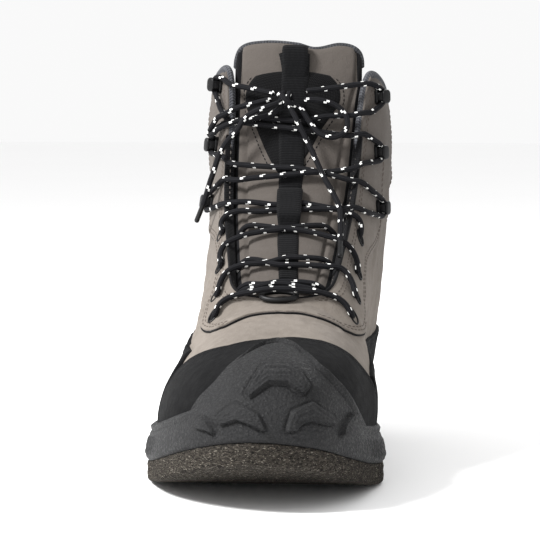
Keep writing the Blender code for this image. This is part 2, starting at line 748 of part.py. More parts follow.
def make_slots(*targets):
    """Slots for the lace through the eyestay and the upper."""
    depth = 4.0 * WALL
    for name, hand in SIDES.items():
        for number, (t, v) in enumerate(SLOTS[name], 1):
            work = bmesh.new()
            bmesh.ops.create_cone(work, cap_ends=True, segments=8, radius1=0.5, radius2=0.5, depth=1.0)
            bmesh.ops.scale(work, vec=(SLOT_WIDTH, SLOT_LENGTH, 2.0 * depth), verts=work.verts)
            mesh = bpy.data.meshes.new(f"slot_{name}_{number}")
            work.to_mesh(mesh)
            work.free()
            cutter = add_object(mesh.name, mesh, None, CUTTERS)
            cutter.matrix_world = frame_on_upper(hand * t, v, 0.0)
            for target in targets:
                join(target, cutter, "DIFFERENCE")


def make_ring():
    """Oval ring that lies on the vamp at the throat's base."""
    middle, tilt = deck(*RING_PLACE), radians(RING_TILT)
    angles = np.linspace(0.0, 2.0 * np.pi, 16, endpoint=False)
    wide = (RING_WIDTH - RING_WIRE) / 2
    deep = (RING_DEPTH - RING_WIRE) / 2
    points = np.array([[wide * cos(a), deep * sin(a), 0.0] for a in angles])
    points = points @ np.array([[1, 0, 0], [0, cos(tilt), sin(tilt)], [0, -sin(tilt), cos(tilt)]]) + middle
    ring = tube("lace_ring", points, RING_WIRE / 2, BLACK_HARD, sides=1)
    ring.data.splines[0].use_cyclic_u = True
    return ring


LACE_PACE = 2.9 * LACE
RAND_MARGIN = 0.02
SEAM = 0.05
EYESTAY_MARGIN = 0.03
TONGUE_TOP = edge_curve((-1, 10.30), (-0.95, 10.5), (-0.8, 10.58), (-0.4, 10.5), (0, 10.42), (0.2, 10.38),
                        (0.5, 10.54), (0.8, 10.62), (0.95, 10.58), (1, 10.36))
KEEPER_RISE = 0.0050

# Station and half width of the shield on the tongue
SHIELD_MIDDLE = -0.06
SHIELD_ROWS = [
    (8.52, 0.10), (8.62, 0.15), (8.92, 0.27), (9.20, 0.38), (9.38, 0.47), (9.58, 0.56), (9.74, 0.56),
    (9.88, 0.50), (9.98, 0.41),
]

# Station, middle, half width and stand-off of the webbing, as a share of the keeper's rise
WEBBING_ROWS = [
    (6.48, 0.09, 0.16, 0.0), (6.90, 0.06, 0.15, 0.0), (7.30, 0.03, 0.15, 0.0), (7.58, 0.02, 0.14, 0.0),
    (7.70, 0.02, 0.14, 0.9), (7.92, 0.01, 0.14, 1.0), (8.14, 0.01, 0.14, 0.9), (8.26, 0.00, 0.14, 0.0),
    (8.60, 0.00, 0.14, 0.0), (9.20, -0.03, 0.14, 0.0), (9.90, -0.02, 0.14, 0.0),
    (10.04, -0.02, 0.14, 0.3), (10.22, -0.03, 0.15, 0.6),
]

# Station and height share of each hook and slot, from the top down and from the bottom up
HOOKS = {
    "outer": [(10.45, 0.925), (9.72, 0.80), (9.00, 0.76)],
    "inner": [(10.40, 0.905), (9.66, 0.80), (9.30, 0.68)],
}
SLOTS = {
    "outer": [(5.76, 0.70), (6.48, 0.825), (7.16, 0.90), (7.76, 0.93)],
    "inner": [(5.96, 0.694), (6.72, 0.775), (7.28, 0.825), (7.84, 0.881)],
}
RING_PLACE = (5.3, -0.1, 0.0035)
RING_TILT = 21.0
KNOT_PLACE = (9.34, -0.06, 0.0062)
KNOT_RADII = (0.0058, 0.0046, 0.0052)

# Routes of the laces: station, place across the throat, lift in lace diameters
CROSSINGS = {
    "lace_bar": [[
        (5.50, -1.60, 1.38), (5.82, -1.48, 1.38), (5.92, -1.30, 1.38), (5.88, -1.16, 1.38),
        (5.74, -0.88, 1.90), (5.70, -0.50, 2.70), (5.69, -0.10, 2.80), (5.71, 0.35, 2.65),
        (5.76, 0.72, 2.05), (5.94, 1.12, 1.38),
        (5.98, 1.28, 1.38), (5.94, 1.44, 1.38), (5.75, 1.60, 1.38),
    ]],
    "lace_cross_1": [[
        (6.30, -0.68, 0.51), (6.20, -0.34, 0.55), (6.28, -0.06, 0.53), (6.30, 0.30, 0.53),
        (6.30, 0.66, 0.60),
    ], [
        (6.14, -0.78, 0.50), (6.10, -0.60, 0.55), (6.20, -0.26, 0.55), (6.22, 0.02, 0.55),
        (6.14, 0.44, 0.55), (6.10, 0.76, 0.60),
    ]],
    "lace_cross_2": [[
        (6.28, -1.30, 1.38), (6.58, -1.18, 1.38), (6.74, -1.06, 1.38), (6.78, -0.88, 1.20),
        (6.80, -0.62, 0.77), (6.80, -0.24, 0.42), (6.90, 0.02, 0.40), (6.94, 0.38, 0.40),
        (7.00, 0.70, 0.30),
    ], [
        (6.50, 1.39, 1.38), (6.74, 1.26, 1.38), (6.86, 1.12, 1.38), (6.88, 1.00, 1.30),
        (6.80, 0.76, 0.95), (6.76, 0.32, 0.44), (6.74, -0.08, 0.42), (6.88, -0.40, 0.40),
        (6.96, -0.62, 0.32),
    ]],
    "lace_cross_3": [[
        (7.05, -1.12, 1.38), (7.30, -1.12, 1.38), (7.38, -1.00, 1.38), (7.38, -0.80, 1.00),
        (7.42, -0.60, 0.48), (7.44, -0.34, 0.10), (7.46, -0.04, 0.08), (7.54, 0.28, -0.10),
        (7.62, 0.58, -0.20),
    ], [
        (7.13, 1.28, 1.38), (7.28, 1.24, 1.38), (7.38, 1.12, 1.38), (7.40, 1.00, 1.30),
        (7.40, 0.72, 0.80), (7.44, 0.40, 0.12), (7.46, 0.10, 0.08), (7.48, -0.12, 0.04),
        (7.55, -0.36, -0.15), (7.62, -0.60, -0.20),
    ]],
    "lace_cross_4": [[
        (7.64, -1.03, 1.38), (7.84, -1.06, 1.38), (7.86, -0.90, 1.25), (7.86, -0.68, 0.41),
        (7.82, -0.44, -0.50), (7.82, -0.14, -0.72), (7.84, 0.22, -0.72), (7.88, 0.50, -0.34),
        (7.92, 0.78, 0.87), (8.18, 1.12, 1.38), (8.52, 1.36, 1.38),
    ], [
        (7.89, 1.17, 1.38), (7.98, 1.12, 1.38), (7.92, 0.96, 1.30), (7.90, 0.72, 0.58),
        (7.92, 0.44, -0.50), (7.94, 0.16, -0.72), (7.90, -0.14, -0.72), (7.94, -0.36, -0.50),
        (8.00, -0.64, 0.35), (8.06, -0.92, 1.31), (8.22, -1.12, 1.38),
    ]],
    "lace_cross_5": [[
        (9.34, -1.28, 1.38), (8.76, -0.88, 1.25), (8.58, -0.54, 0.25), (8.48, -0.16, 0.0),
        (8.46, 0.10, 0.0), (8.44, 0.28, 0.0), (8.42, 0.56, 0.33), (8.44, 0.86, 1.21),
        (8.68, 1.16, 1.38), (8.90, 1.34, 1.38),
    ], [
        (8.74, -1.16, 1.38), (8.40, -0.76, 0.95), (8.36, -0.48, 0.14), (8.34, -0.22, 0.0),
        (8.36, 0.04, 0.0), (8.40, 0.22, 0.0), (8.46, 0.48, 0.12), (8.54, 0.68, 0.69),
        (8.70, 0.92, 1.30), (9.08, 1.18, 1.38),
    ]],
    "lace_cross_6": [[
        (9.80, -1.34, 1.38), (9.38, -1.04, 1.38), (9.24, -0.70, 0.75), (9.22, -0.44, 0.02),
        (9.16, -0.18, -0.05), (9.14, 0.10, -0.05), (9.24, 0.40, 0.0), (9.32, 0.70, 0.75),
        (9.56, 1.04, 1.38), (9.94, 1.20, 1.38),
    ], [
        (10.1, -1.29, 1.38), (9.38, -0.96, 1.30), (9.20, -0.64, 0.54), (9.10, -0.30, -0.05),
        (9.04, 0.00, -0.05), (9.02, 0.30, -0.05), (9.04, 0.62, 0.46), (9.14, 0.88, 1.20),
        (9.34, 1.10, 1.38),
    ]],
    "lace_top_outer": [[
        (10.16, -1.10, 1.38), (9.80, -0.88, 1.26), (9.62, -0.60, 1.20),
        (9.50, -0.36, 1.40), (9.44, -0.22, 1.70),
    ]],
    "lace_top_inner": [[
        (10.2, 1.14, 1.38), (9.90, 0.92, 1.33), (9.66, 0.58, 1.20), (9.53, 0.30, 1.20),
        (9.48, 0.14, 1.40),
    ]],
}
BOW = {
    "lace_loop_outer": [
        (9.36, -0.22, 1.90), (9.35, -0.30, 1.90), (9.34, -0.44, 1.90), (9.34, -0.64, 2.20),
        (9.34, -0.86, 2.60), (9.48, -1.12, 2.70), (9.58, -1.26, 2.70), (9.40, -1.16, 2.70),
        (9.24, -0.98, 2.70), (9.18, -0.78, 2.60), (9.17, -0.60, 2.20), (9.16, -0.44, 1.60),
        (9.18, -0.28, 1.30), (9.19, -0.22, 1.25),
    ],
    "lace_loop_inner": [
        (9.34, 0.12, 2.20), (9.35, 0.20, 2.30), (9.35, 0.30, 2.25), (9.34, 0.44, 1.95),
        (9.26, 0.58, 1.85), (9.14, 0.62, 1.85), (9.02, 0.58, 1.75), (8.92, 0.44, 1.55),
        (8.94, 0.30, 1.55), (9.02, 0.22, 1.60), (9.14, 0.14, 1.70), (9.24, 0.08, 1.90),
    ],
    "lace_end_outer": [
        (9.22, -0.20, 3.90), (9.18, -0.32, 3.95), (9.14, -0.42, 3.85), (9.06, -0.50, 3.70),
        (8.98, -0.56, 3.50), (8.90, -0.68, 3.50), (8.80, -0.82, 3.30), (8.70, -0.96, 3.10),
        (8.62, -1.08, 3.10), (8.48, -1.14, 3.30), (8.38, -1.20, 3.40), (8.38, -1.30, 3.40),
        (8.42, -1.40, 3.40),
    ],
    "lace_end_inner": [
        (9.19, -0.02, 2.85), (9.10, 0.03, 2.85), (8.98, 0.08, 2.70), (8.82, 0.16, 1.90),
        (8.66, 0.24, 1.50), (8.44, 0.34, 1.30), (8.22, 0.46, 1.30), (8.02, 0.60, 1.40),
        (7.84, 0.70, 1.70), (7.60, 0.76, 1.90), (7.34, 0.82, 2.10), (7.00, 0.90, 2.30),
    ],
}

for old in list(bpy.data.objects):
    bpy.data.objects.remove(old)
PARTS = bpy.data.collections.new("wading_boot")
CUTTERS = bpy.data.collections.new("cutters")
for group in (PARTS, CUTTERS):
    bpy.context.scene.collection.children.link(group)
TAUPE = material("taupe nubuck", (0.27, 0.23, 0.2), 0.85)
CHARCOAL = material("charcoal nubuck", (0.04, 0.04, 0.042), 0.85)
RUBBER = material("rubber", (0.07, 0.07, 0.072), 0.6)
FELT_GREY = material("felt", (0.09, 0.08, 0.07), 0.95)
DARK_CLOTH = material("dark cloth", (0.03, 0.03, 0.035), 0.9)
BLACK_WEB = material("black webbing", (0.012, 0.012, 0.014), 0.8)
BLACK_HARD = material("black plastic", (0.012, 0.012, 0.013), 0.35)
LACE_BLACK = material("lace", (0.015, 0.015, 0.016), 0.8)

upper = make_upper()
make_cupsole()
make_felts()
make_insole()
make_rand()
make_counter()
eyestay = make_eyestay()
make_tongue()
make_patch()
make_webbing()
make_ring()
make_hooks()
make_slots(upper, eyestay)
make_crossings()
make_bow()
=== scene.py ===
"""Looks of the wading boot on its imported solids: camera, light, floor and a detailed piece for each."""

from collections import namedtuple
from math import cos, pi, radians, sin, tan

import bmesh
import bpy
import numpy as np
from mathutils import Matrix, Vector


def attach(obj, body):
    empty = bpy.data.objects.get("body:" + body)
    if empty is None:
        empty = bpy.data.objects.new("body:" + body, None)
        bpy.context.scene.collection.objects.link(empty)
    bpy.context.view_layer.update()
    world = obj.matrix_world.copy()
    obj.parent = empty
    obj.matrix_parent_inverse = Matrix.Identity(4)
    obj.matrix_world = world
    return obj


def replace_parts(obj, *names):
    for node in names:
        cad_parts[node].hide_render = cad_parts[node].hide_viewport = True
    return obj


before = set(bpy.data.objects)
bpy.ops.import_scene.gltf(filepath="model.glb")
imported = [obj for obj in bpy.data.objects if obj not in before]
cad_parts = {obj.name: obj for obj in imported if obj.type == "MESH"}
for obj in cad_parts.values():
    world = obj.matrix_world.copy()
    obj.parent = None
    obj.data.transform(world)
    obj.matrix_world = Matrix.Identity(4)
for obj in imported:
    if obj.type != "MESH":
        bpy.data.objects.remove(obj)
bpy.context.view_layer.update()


# Driving dimensions, in metres
SOLE_LENGTH = 0.312
BALL_WIDTH = 0.1205
HEEL_WIDTH = 0.086
HEEL_OVERHANG = 0.042
TOE_SPRING = 0.0245
FELT = 0.0105
DECK = 0.009
FOXING_HEIGHT = 0.0185
FOXING_FLARE = 0.0036
FOOT_INSET = 0.0085
CAP_WALL = 0.0026
SHAFT_HEIGHT = 0.209
SHAFT_WIDTH = 0.1058
WALL = 0.0022
OVERLAY = 0.0012
TONGUE = 0.0045
TONGUE_RISE = 0.036
WEBBING = 0.0011
PATCH = 0.0008
LACE = 0.003
HOOK_WIDTH = 0.0085
HOOK_LENGTH = 0.0095
HOOK_HEIGHT = 0.0062
HOOK_FOOT = 0.0014
HOOK_HEAD = 0.0018
RING_WIDTH = 0.0208
RING_DEPTH = 0.0135
RING_WIRE = 0.003
AGLET = 0.012

# Clearances, in metres
GAP = 0.0003
OVERLAY_GAP = 0.0006
TONGUE_GAP = 0.001

HEEL = 14
RIDGE = 5
COLLAR = 10
LOOP = 2 * HEEL

# The tongue's edges lie at this height share, and a step of w past the throat's edge is this much of it
TUCK = 0.93
SIDE_PACE = 0.5
DECK_BULGE = 0.72
TONGUE_BULGE = 0.85
SHAFT_SLOPE = (0.0, 0.25 * TONGUE_RISE, 0.97 * TONGUE_RISE)

# Outline of the sole from toe to heel: share of the length, shares of the local width on each side, and
# the handle that leads the upper off the sole, as shares of ball width and of shaft height
SoleRow = namedtuple("SoleRow", "along outer inner lead_outer lead_inner up")
SOLE_ROWS = [
    SoleRow(0.000, 0.000, 0.000, 0.017, 0.017, 0.132),
    SoleRow(0.030, 0.199, 0.216, 0.020, 0.020, 0.132),
    SoleRow(0.080, 0.324, 0.315, 0.040, 0.040, 0.134),
    SoleRow(0.160, 0.432, 0.398, 0.065, 0.070, 0.138),
    SoleRow(0.250, 0.498, 0.440, 0.075, 0.095, 0.144),
    SoleRow(0.330, 0.535, 0.465, 0.070, 0.105, 0.152),
    SoleRow(0.420, 0.522, 0.438, 0.060, 0.095, 0.165),
    SoleRow(0.520, 0.475, 0.387, 0.075, 0.070, 0.190),
    SoleRow(0.620, 0.450, 0.375, 0.105, 0.075, 0.215),
    SoleRow(0.720, 0.455, 0.414, 0.130, 0.100, 0.240),
    SoleRow(0.820, 0.467, 0.467, 0.150, 0.130, 0.260),
    SoleRow(0.900, 0.454, 0.454, 0.130, 0.130, 0.260),
    SoleRow(0.960, 0.336, 0.336, 0.100, 0.100, 0.250),
    SoleRow(0.985, 0.190, 0.190, 0.075, 0.075, 0.245),
    SoleRow(1.000, 0.000, 0.000, 0.066, 0.066, 0.240),
]

# Top line from the ridge of the vamp along the throat and round the collar: share of the sole's length,
# shares of shaft height, shaft width and ball width, then the direction that the handle faces in plan,
# in degrees from the toe, its reach outwards and downwards, its lean to the inner side, and how much
# lower the inner side stands
TopRow = namedtuple("TopRow", "along rise half shift facing out drop lean dip")
TOP_ROWS = [
    TopRow(0.256, 0.371, 0.000, 0.033, 0, 0.332, 0.031, 0.000, 0.000),
    TopRow(0.266, 0.375, 0.000, 0.037, 35, 0.330, 0.028, 0.002, 0.000),
    TopRow(0.282, 0.383, 0.000, 0.037, 60, 0.315, 0.020, 0.008, 0.000),
    TopRow(0.308, 0.395, 0.000, 0.033, 78, 0.295, 0.010, 0.014, 0.000),
    TopRow(0.340, 0.411, 0.000, 0.025, 86, 0.280, 0.005, 0.020, 0.000),
    TopRow(0.378, 0.431, 0.000, 0.018, 90, 0.260, 0.003, 0.022, 0.000),
    TopRow(0.397, 0.447, 0.189, 0.017, 92, 0.150, 0.020, 0.020, 0.000),
    TopRow(0.462, 0.512, 0.255, 0.016, 100, 0.160, 0.070, 0.010, 0.000),
    TopRow(0.561, 0.636, 0.298, 0.013, 114, 0.165, 0.120, 0.004, 0.000),
    TopRow(0.628, 0.789, 0.321, 0.018, 125, 0.155, 0.165, 0.000, 0.000),
    TopRow(0.670, 0.975, 0.345, 0.028, 125, 0.135, 0.190, 0.000, 0.012),
    TopRow(0.721, 1.000, 0.410, 0.024, 105, 0.105, 0.215, 0.000, 0.014),
    TopRow(0.840, 0.952, 0.444, 0.004, 98, 0.105, 0.215, 0.000, 0.010),
    TopRow(0.929, 0.957, 0.302, 0.000, 145, 0.010, 0.230, 0.000, 0.004),
    TopRow(0.971, 0.971, 0.000, 0.000, 180, -0.100, 0.250, 0.000, 0.000),
]


def smoothstep(low, high, value):
    """0 below low, 1 above high and an even curve between them."""
    share = np.clip((np.asarray(value, float) - low) / (high - low), 0.0, 1.0)
    return share * share * (3.0 - 2.0 * share)


def closed_curve(rows):
    """The smooth closed curve through the rows, as a function of the station t."""
    rows = np.asarray(rows, float)
    count = len(rows)
    system = 4.0 * np.eye(count) + np.roll(np.eye(count), 1, 0) + np.roll(np.eye(count), -1, 0)
    bends = np.linalg.solve(system, 6.0 * (np.roll(rows, 1, 0) - 2.0 * rows + np.roll(rows, -1, 0)))

    def at(t):
        t = np.asarray(t, float)
        low = np.floor(t).astype(int)
        share = (t - low)[..., None]
        rest = 1.0 - share
        first, second = low % count, (low + 1) % count
        line = rows[first] * rest + rows[second] * share
        return line + (bends[first] * (rest**3 - rest) + bends[second] * (share**3 - share)) / 6.0

    return at


def open_curve(rows):
    """A smooth curve through rows of numbers, as a function of the place in the list."""
    rows = np.asarray(rows, float)
    padded = np.concatenate([[2 * rows[0] - rows[1]], rows, [2 * rows[-1] - rows[-2]]])

    def at(place):
        place = np.clip(np.asarray(place, float), 0.0, len(rows) - 1.0)
        low = np.minimum(np.floor(place).astype(int), len(rows) - 2)
        s = (place - low)[..., None]
        a, b, c, d = (padded[low + step] for step in range(4))
        return b + 0.5 * s * (c - a + s * (2 * a - 5 * b + 4 * c - d + s * (3 * (b - c) + d - a)))

    return at


def edge_curve(*pairs):
    """A smooth line v(t) for the edge of an overlay, through pairs of station and height share."""
    stations, heights = np.array(pairs, float).T
    curve = open_curve(heights[:, None])
    return lambda t: curve(np.interp(t, stations, np.arange(len(stations))))[..., 0]


def sole_width(along):
    """Local width of the sole: the ball's in front of the waist, easing to the heel's."""
    return BALL_WIDTH + (HEEL_WIDTH - BALL_WIDTH) * smoothstep(0.33, 1.0, along)


def sole_y(along):
    return HEEL_OVERHANG - SOLE_LENGTH * (1.0 - along)


def spring(y):
    """How far the sole has left the floor at y, in front of the flat of the forefoot."""
    reach = 0.385
    ahead = np.clip((sole_y(reach) - np.asarray(y, float)) / (SOLE_LENGTH * reach), 0.0, None)
    return TOE_SPRING * ahead**1.9


def sole_rows():
    """One row for each of the stations round the sole."""
    for station in range(LOOP):
        row = SOLE_ROWS[min(station, LOOP - station)]
        width = sole_width(row.along)
        half, lead = (row.inner, row.lead_inner) if station > HEEL else (-row.outer, row.lead_outer)
        yield (half * width, sole_y(row.along), lead * BALL_WIDTH, row.up * SHAFT_HEIGHT)


def top_rows():
    """One row for each station of the top line: point, half opening and handle."""
    for station in range(LOOP):
        row = TOP_ROWS[min(station, LOOP - station)]
        hand = 1.0 if station > HEEL else -1.0
        out = row.out * BALL_WIDTH
        yield (
            row.shift * BALL_WIDTH,
            sole_y(row.along),
            (row.rise - (row.dip if hand > 0 else 0.0)) * SHAFT_HEIGHT,
            hand * row.half * SHAFT_WIDTH,
            hand * out * sin(radians(row.facing)) + row.lean * BALL_WIDTH,
            -out * cos(radians(row.facing)),
            -row.drop * SHAFT_HEIGHT,
        )


SOLE_CURVE = closed_curve(list(sole_rows()))
TOP_CURVE = closed_curve(list(top_rows()))
STEP = 1e-3


def outline(t, inset=0.0, z=0.0):
    """Points of the sole's outline, moved in by inset and lifted to z above the sprung floor line."""
    t = np.asarray(t, float)
    point = SOLE_CURVE(t)[..., :2]
    along = SOLE_CURVE(t + STEP)[..., :2] - SOLE_CURVE(t - STEP)[..., :2]
    along /= np.linalg.norm(along, axis=-1, keepdims=True)
    outward = np.stack([-along[..., 1], along[..., 0]], -1)
    point = point - outward * np.asarray(inset, float)[..., None]
    height = np.asarray(z, float) + spring(point[..., 1])
    return np.concatenate([point, height[..., None]], -1)


def outward_of(t):
    """Unit vectors that point out of the sole's outline, level with the floor."""
    return (outline(t, inset=-1.0) - outline(t)) * (1.0, 1.0, 0.0)


FLOOR_LINE = FELT + GAP + DECK + GAP


def folded(t):
    """Stations from the toe, 0 to 14, whichever side t is on."""
    t = np.mod(np.asarray(t, float), LOOP)
    return np.minimum(t, LOOP - t)


def ends_of(t):
    """Foot point, its handle, the top line's handle and the top line's point, for each station."""
    foot = outline(t, FOOT_INSET, FLOOR_LINE)
    sole = SOLE_CURVE(t)
    lead = outward_of(t) * sole[..., 2:3]
    lead[..., 2] += sole[..., 3]
    rows = TOP_CURVE(t)
    half = np.where(folded(t) <= RIDGE, 0.0, rows[..., 3])
    top = np.stack([rows[..., 0] + half, rows[..., 1], rows[..., 2]], -1)
    return foot, foot + lead, top + rows[..., 4:7], top


def plain(t, v):
    """The upper's outer surface at station t and height share v."""
    v = np.asarray(v, float)[..., None]
    w = 1.0 - v
    a, b, c, d = ends_of(t)
    return w**3 * a + 3 * w * w * v * b + 3 * w * v * v * c + v**3 * d


def normal_of(t, v):
    t, v = np.broadcast_arrays(np.asarray(t, float), np.asarray(v, float))
    low = np.clip(v, 0.01, 0.985)
    round_boot = plain(t + STEP, low) - plain(t - STEP, low)
    upward = plain(t, low + STEP) - plain(t, low - STEP)
    normal = np.cross(upward, round_boot)
    return normal / np.linalg.norm(normal, axis=-1, keepdims=True)


def side(t, v, lift=0.0):
    """The upper's outer surface, or the surface that lies lift outside it."""
    t, v = np.broadcast_arrays(np.asarray(t, float), np.asarray(v, float))
    normal = normal_of(t, v)
    on_ridge = (v > 1.0 - STEP) & (folded(t) <= RIDGE)
    both = normal + normal_of(-t, v)
    both /= np.linalg.norm(both, axis=-1, keepdims=True)
    normal = np.where(on_ridge[..., None], both, normal)
    return plain(t, v) + normal * np.asarray(lift, float)[..., None]


def bridged(start, start_lead, end, end_lead, share):
    """The cubic that leaves start along start_lead and reaches end against end_lead."""
    share = np.asarray(share, float)[..., None]
    rest = 1.0 - share
    first, second = start + start_lead / 3.0, end + end_lead / 3.0
    return rest**3 * start + 3 * rest**2 * share * first + 3 * rest * share**2 * second + share**3 * end


def throat_points(u, w, edge, bulge, lift):
    """A surface across the throat at station u, from w = -1 on the outer side to 1 on the inner side.

    It leaves each side at height share edge, along the upper's own surface, and beyond w = 1 it goes on
    down that surface. bulge says how far it follows the sides' own slope between them. Above the collar's
    station it rises straight up.
    """
    u, w, edge, lift = np.broadcast_arrays(*(np.asarray(a, float) for a in (u, w, edge, lift)))
    station = np.minimum(u, COLLAR)
    reach = edge - SIDE_PACE * np.clip(np.abs(w) - 1.0, 0.0, None)
    hands = []
    for hand in (1.0, -1.0):
        rim = side(hand * station, reach, lift)
        pace = (side(hand * station, reach, lift) - side(hand * station, reach - STEP, lift)) / STEP
        hands.append((rim, pace / np.linalg.norm(pace, axis=-1, keepdims=True)))
    (outer, outer_pace), (inner, inner_pace) = hands
    span = bulge * np.linalg.norm(inner - outer, axis=-1, keepdims=True)
    middle = bridged(outer, outer_pace * span, inner, inner_pace * span, np.clip((w + 1.0) / 2.0, 0.0, 1.0))
    return middle + np.clip(u - COLLAR, 0.0, None)[..., None] * np.array(SHAFT_SLOPE)


def deck(u, w, lift):
    """Where the laces run: over the throat's edges and across between them."""
    return throat_points(u, w, 1.0, DECK_BULGE, lift)


def tongue_front(u, w, lift=0.0):
    """Front face of the tongue, tucked under the throat's edges."""
    return throat_points(u, w, TUCK, TONGUE_BULGE, np.asarray(lift, float) - WALL - TONGUE_GAP)


def height_share(t, z):
    """The height share v at which each station's profile passes z."""
    shares = np.linspace(0.0, 0.7, 141)
    t, z = np.broadcast_arrays(np.asarray(t, float), np.asarray(z, float))
    heights = plain(t[..., None], shares)[..., 2]
    return np.array([np.interp(level, row, shares) for level, row in zip(z, heights)])


# Height shares of the edges of rubber and overlays, by station, on the outer and on the inner side. The
# counter's edge lies lower than its solid's: where it crosses the boot's outline it follows the photo.
CAP_EDGE = {
    "outer": edge_curve((0, 0.85), (0.28, 0.794), (0.6, 0.625), (1.04, 0.35), (1.6, 0.219), (2.2, 0.081),
                        (3, 0.0)),
    "inner": edge_curve((0, 0.85), (0.3, 0.85), (0.7, 0.78), (0.92, 0.65), (1.36, 0.50), (1.88, 0.413),
                        (2.44, 0.325), (3.24, 0.188), (4.2, 0.08), (5.2, 0.0)),
}
RAND_EDGE = {
    "outer": edge_curve((0, 0.905), (0.68, 0.85), (1.24, 0.775), (1.72, 0.681), (2.72, 0.569),
                        (3.5, 0.488), (4.0, 0.41), (4.4, 0.29)),
    "inner": edge_curve((0, 0.905), (1.0, 0.869), (2.16, 0.725), (2.96, 0.60), (3.76, 0.481), (4.8, 0.28)),
}
COUNTER_EDGE = {
    "outer": edge_curve((4.4, 0.43), (4.8, 0.475), (5.6, 0.481), (6.4, 0.49), (6.8, 0.485), (7.2, 0.45),
                        (8, 0.385), (9, 0.315), (10, 0.27), (12, 0.28), (14, 0.29)),
    "inner": edge_curve((4.8, 0.35), (5.6, 0.39), (6.3, 0.415), (6.8, 0.41), (7.2, 0.385), (8, 0.32),
                        (9, 0.265), (10, 0.235), (12, 0.265), (14, 0.29)),
}
EYESTAY_EDGE = {
    "outer": edge_curve((3.95, 0.97), (4.08, 0.888), (4.16, 0.806), (4.28, 0.725), (4.4, 0.663),
                        (5.0, 0.605), (5.84, 0.60), (6.28, 0.656), (6.56, 0.71), (6.92, 0.80),
                        (7.24, 0.844), (7.84, 0.84), (8.4, 0.75), (9, 0.68), (9.7, 0.70), (10.3, 0.78)),
    "inner": edge_curve((3.95, 0.97), (4.12, 0.90), (4.24, 0.806), (4.6, 0.688), (5.32, 0.60),
                        (5.76, 0.569), (6.44, 0.556), (6.8, 0.60), (7.16, 0.656), (7.48, 0.713),
                        (7.88, 0.73), (8.4, 0.67), (9.2, 0.60), (9.8, 0.66), (10.3, 0.74)),
}
RAND_END = {"outer": 4.4, "inner": 4.8}
EYESTAY_START = 3.95
EYESTAY_END = 10.3
SIDES = {"outer": 1.0, "inner": -1.0}


def foxing_share(t):
    """Height share of the foxing's top, on the upper's own surface."""
    level = FELT + GAP + FOXING_HEIGHT + spring(outline(t)[..., 1])
    return height_share(t, level)


def rubber_share(t):
    """Height share of the rubber's top edge: the cap at the toe, the foxing elsewhere."""
    t = np.asarray(t, float)
    outer = np.mod(t, LOOP) <= HEEL
    cap = np.where(outer, CAP_EDGE["outer"](folded(t)), CAP_EDGE["inner"](folded(t)))
    return np.maximum(foxing_share(t) + 0.012, cap)


RAND_MARGIN = 0.02
SEAM = 0.05
TONGUE_TOP = edge_curve((-1, 10.30), (-0.95, 10.5), (-0.8, 10.58), (-0.4, 10.5), (0, 10.42), (0.2, 10.38),
                        (0.5, 10.54), (0.8, 10.62), (0.95, 10.58), (1, 10.36))
TONGUE_SEAMS = edge_curve((4.7, 0.62), (6.5, 0.60), (8.0, 0.60), (9.0, 0.62), (10.0, 0.72), (11.0, 0.76))
KEEPER_RISE = 0.0050

# Station and half width of the shield on the tongue
SHIELD_MIDDLE = -0.06
SHIELD_ROWS = [
    (8.52, 0.10), (8.62, 0.15), (8.92, 0.27), (9.20, 0.38), (9.38, 0.47), (9.58, 0.56), (9.74, 0.56),
    (9.88, 0.50), (9.98, 0.41),
]

# Station, middle, half width and stand-off of the webbing, as a share of the keeper's rise
WEBBING_ROWS = [
    (6.48, 0.09, 0.16, 0.0), (6.90, 0.06, 0.15, 0.0), (7.30, 0.03, 0.15, 0.0), (7.58, 0.02, 0.14, 0.0),
    (7.70, 0.02, 0.14, 0.9), (7.92, 0.01, 0.14, 1.0), (8.14, 0.01, 0.14, 0.9), (8.26, 0.00, 0.14, 0.0),
    (8.60, 0.00, 0.14, 0.0), (9.20, -0.03, 0.14, 0.0), (9.90, -0.02, 0.14, 0.0),
    (10.04, -0.02, 0.14, 0.3), (10.22, -0.03, 0.15, 0.6),
]

# Station and height share of each hook and slot, from the top down and from the bottom up
HOOKS = {
    "outer": [(10.45, 0.925), (9.72, 0.80), (9.00, 0.76)],
    "inner": [(10.40, 0.905), (9.66, 0.80), (9.30, 0.68)],
}
SLOTS = {
    "outer": [(5.76, 0.70), (6.48, 0.825), (7.16, 0.90), (7.76, 0.93)],
    "inner": [(5.96, 0.694), (6.72, 0.775), (7.28, 0.825), (7.84, 0.881)],
}
RING_PLACE = (5.3, -0.1, 0.0035)
RING_TILT = 21.0
KNOT_PLACE = (9.34, -0.06, 0.0062)
KNOT_RADII = (0.0058, 0.0046, 0.0052)

